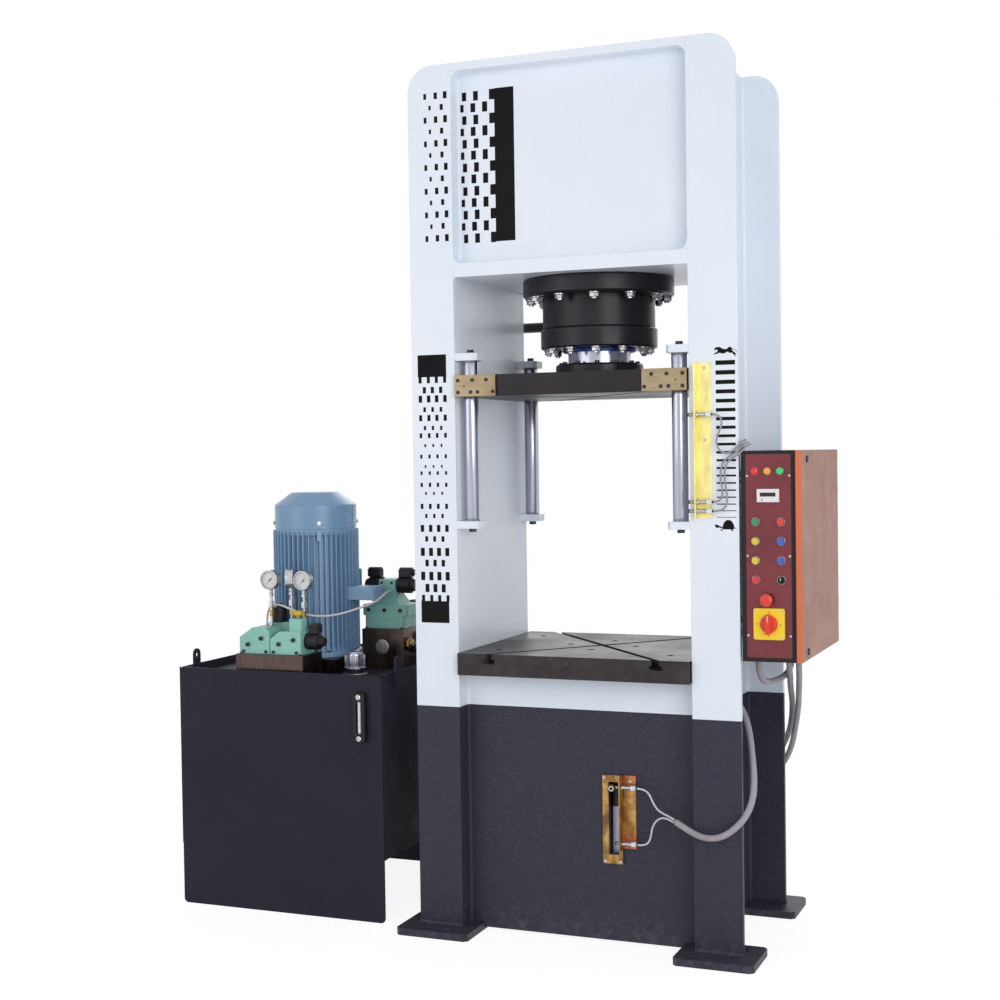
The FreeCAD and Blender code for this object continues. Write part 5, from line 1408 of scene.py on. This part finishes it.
def coils():
    """Black coils with their plugs; ribs run round each coil."""
    mesh = bmesh.new()
    x, y = -866, 145
    for side in SIDES:
        ribbed = [(0, 0), (29, 0), (30, 1)]
        for k in range(6):
            ribbed += [(30, 6 + 8 * k), (28.6, 7 + 8 * k), (28.6, 8.5 + 8 * k), (30, 9.5 + 8 * k)]
        ribbed += [(30, 50), (22, 56), (22, 63), (19, 66), (8, 66), (7, 62), (0, 62)]
        turned(mesh, ribbed, (x + side * 33, y, 1112), (side, 0, 0), 40)
        low = x + side * 38
        block(mesh, (low, low + side * 50), (y - 15, y + 15), (1142, 1170))
        block(mesh, (low + side * 3, low + side * 47), (y - 13, y + 13), (1170, 1176), 1)
    turned(mesh, [(0, 0), (11, 0), (11, 8), (8.6, 11), (0, 11)], (x + 88, y, 1159), RIGHT, 24)
    side_coil = [(0, 0), (29, 0), (29, 48), (20, 54), (14, 70), (0, 70)]
    turned(mesh, side_coil, (-1012, -225, 942), RIGHT, 40)
    for x in (-1004, -991, -978):
        turned(mesh, [(20, 0), (29.6, 0), (29.6, 3), (20, 3)], (x, -225, 942), RIGHT, 40)
    block(mesh, (-996, -962), (-242, -208), (971, 1000))
    block(mesh, (-993, -965), (-240, -210), (1000, 1006), 1)
    rear_coil = [(0, 1000), (26, 1000), (26, 1052), (10, 1056), (10, 1066), (0, 1066)]
    turned(mesh, rear_coil, (-1160, -160, 0), UP, 40)
    done(mesh, "coils", PRESS, ["black_plastic", "lead_black"], ["solenoid_coils"], 0.8)


def knob(name, body, node, centre, way):
    section = [
        (0, 0.3), (6, 0.3), (6, 10), (11, 11), (17, 12), (18.6, 16), (19, 22), (18, 25.4), (15.6, 27),
        (0, 27),
    ]
    lathed(name, body, "knob_yellow", section, [node], 0.4, centre, way, 40)

    def grip(mesh):
        prism(mesh, [(-0.6, -1.5, -6.5), (1.5, -0.8, -6.5), (1.5, 0.8, -6.5), (-0.6, 1.5, -6.5)], (0, 0, 12))

    repeated(
        RING, name + "_grips", grip, "knob_yellow", body, "yellow_plastic",
        Vector(centre) + Vector(way) * 19.6, way, count=14, circle_radius=17.4, first_angle=0.0,
    )


manifolds()
valves()
coils()
knob("side_knob", "left_knob", "left_valve_knob", (-1257, -205, 925), LEFT)
knob("upper_knob", "top_knob", "top_valve_knob", (-1042, -237, 1022), UP)


# ---- gauges -------------------------------------------------------------------------------
# Centre of each dial, its turn from the front to the left in degrees, and the height of its foot.
GAUGES = (
    ((-1163, -215, 1154), 0, 990), ((-1043, -194, 1151), 0, 978), ((-1109, -170, 1156), 68, 1000),
)


def dial_axes(turn):
    """The way that a gauge faces, and the way to the right across its dial."""
    turn = math.radians(turn)
    way = Vector((-math.sin(turn), -math.cos(turn), 0))
    return way, Vector((-way.y, way.x, 0))


def gauges():
    cases, dials, glasses = bmesh.new(), bmesh.new(), bmesh.new()
    for centre, turn, foot in GAUGES:
        way, across = dial_axes(turn)
        centre = Vector(centre)
        section = [
            (0, 0), (32, 0), (34.4, 1.2), (34.4, 20), (35, 21), (35, 25), (33.6, 27.6), (31.6, 28),
            (30.6, 26), (30.6, 14.2), (0, 14.2),
        ]
        turned(cases, section, centre - way * 14, way, 56)
        turned(dials, [(0, 0.2), (30.6, 0.2), (30.6, 0.28), (0, 0.28)], centre, way, 48)
        for k in range(31):
            angle = math.radians(225 - 9 * k)
            ray = across * math.cos(angle) + Vector(UP) * math.sin(angle)
            side = way.cross(ray)
            inner, outer, half = (21.5, 27.5, 0.55) if k % 5 == 0 else (24.5, 27.5, 0.3)
            corners = ((inner, -half), (outer, -half), (outer, half), (inner, half))
            prism(dials, [centre + way * 0.22 + (ray * a + side * b) for a, b in corners], way * 0.1, 1)
        bar(glasses, centre + way * 10.5, 1.2, 30.6, way, 48)
        root = centre - way * 4
        top = centre.z - 35
        bar(cases, (root.x, root.y, foot), top + 2 - foot, 5)
        for below, height, corner, finish in (
            (12, 12, 8.6, 0), (24, 11, 10, 0), (63, 23, 11, 0), (94, 21, 8, 1), (top - foot, 12, 11, 0),
        ):
            hexagon(cases, (root.x, root.y, top - below), height, corner, UP, finish)
    done(cases, "gauge_cases", PRESS, ["bright_zinc", "brass"], ["pressure_gauges"], 0.3)
    done(dials, "gauge_dials", PRESS, ["dial_white", "vinyl"], ease=0)
    done(glasses, "gauge_glasses", PRESS, ["clear_glass"], ease=0)


def needles():
    for k, (centre, turn, _) in enumerate(GAUGES, 1):
        way, across = dial_axes(turn)
        lean = math.radians(225)
        tip = across * math.cos(lean) + Vector(UP) * math.sin(lean)
        side = way.cross(tip)
        centre = Vector(centre)
        foot = centre + way * 1.5
        mesh = bmesh.new()
        outline = ((-2.1, -8), (2.1, -8), (1.1, 0), (0.4, 24), (0, 26), (-0.4, 24), (-1.1, 0))
        prism(mesh, [foot + side * a + tip * b for a, b in outline], way * 1.2)
        turned(mesh, [(0, 0), (3.5, 0), (3.5, 3), (2.6, 4), (0, 4)], centre + way * 0.3, way, 24)
        body, node = f"needle_{k}", f"gauge_needle_{k}"
        done(mesh, f"{body}_pointer", body, ["vinyl"], [node], ease=0)


# ---- pipes --------------------------------------------------------------------------------
def pipe(mesh, route, radius):
    """Round tubes between forged elbows with a collar nut at each joint."""
    route = [Vector(place) for place in route]
    half = radius * 1.3
    for k in range(len(route) - 1):
        way = (route[k + 1] - route[k]).normalized()
        start = route[k] + way * (half if k else 0)
        end = route[k + 1] - way * (half if k < len(route) - 2 else 0)
        bar(mesh, start, (end - start).length, radius, way, 32)
        collar = min(radius * 0.9, (end - start).length / 3)
        for foot in (start, end - way * collar):
            bar(mesh, foot, collar, half * 0.96, way, 6)
    for place in route[1:-1]:
        block(mesh, *[(value - half, value + half) for value in place])


def pipes():
    mesh = bmesh.new()
    for radius, route in (
        (18, [(0, 189, 2045), (0, 345, 2045), (-820, 345, 2045), (-820, 345, 886), (-820, 225, 886)]),
        (18, [
            (0, 60, 2640), (0, 60, 2720), (0, 400, 2720), (-828, 400, 2720), (-828, 400, 1010),
            (-885, 400, 1010), (-885, 400, 925), (-885, 225, 925),
        ]),
        (12, [
            (0, 90, 440), (0, 334, 440), (-640, 334, 440), (-640, 334, 880), (-640, 150, 880),
            (-781, 150, 880),
        ]),
    ):
        pipe(mesh, route, radius)
    done(mesh, "pipes", PRESS, ["black_oxide"], ["pressure_pipes"], 1.2)


gauges()
needles()
pipes()


# ---- floor and light ----------------------------------------------------------------------
def pale_floor():
    """A plain pale floor that keeps a faint shadow and meets the white background."""
    finish = Finish("floor", 0.8)
    finish.colour(finish.blend(finish.noise(0.8, 3), srgb(240, 240, 241), srgb(248, 248, 249)))
    glow, share = 1.12, 0.8
    shown = finish.add("ShaderNodeEmission", {"Strength": glow})
    finish.mixed(finish.times(finish.seen_by_eye(), share), finish.shader, shown, "Material Output")
    data = bpy.data.meshes.new("floor")
    half = 14
    corners = [(-half, -half, 0), (half, -half, 0), (half, half, 0), (-half, half, 0)]
    data.from_pydata(corners, [], [range(4)])
    data.materials.append(finish.material)
    placed("floor", data)


def lamp(name, place, size, power):
    """A square lamp, turned towards the middle of the press."""
    data = bpy.data.lights.new(name, "AREA")
    data.size = size
    data.energy = power
    light = placed(name, data)
    light.location = place
    light.rotation_mode = "QUATERNION"
    light.rotation_quaternion = (Vector(place) - Vector((-0.2, 0, 1.3))).to_track_quat("Z", "Y")


def white_world():
    """Even pale light all round; the camera and the glossy metal see plain white."""
    world = bpy.data.worlds.new("studio")
    world.use_nodes = True
    studio = Tree(world.node_tree)
    soft = studio.tree.nodes["Background"]
    white = studio.add("ShaderNodeBackground")
    for light, strength in ((soft, 0.56), (white, 1)):
        light.inputs["Color"].default_value = (1, 1, 1, 1)
        light.inputs["Strength"].default_value = strength
    studio.mixed(studio.seen_by_eye(), soft, white, "World Output")
    bpy.context.scene.world = world
    bpy.context.scene.view_settings.view_transform = "Standard"


pale_floor()
lamp("key", (3.9, -4.4, 2.5), 3.2, 105)
lamp("fill", (-3.4, -4.8, 2.6), 3.4, 42)
lamp("rear", (-1.0, 5.0, 4.2), 3.6, 60)
white_world()
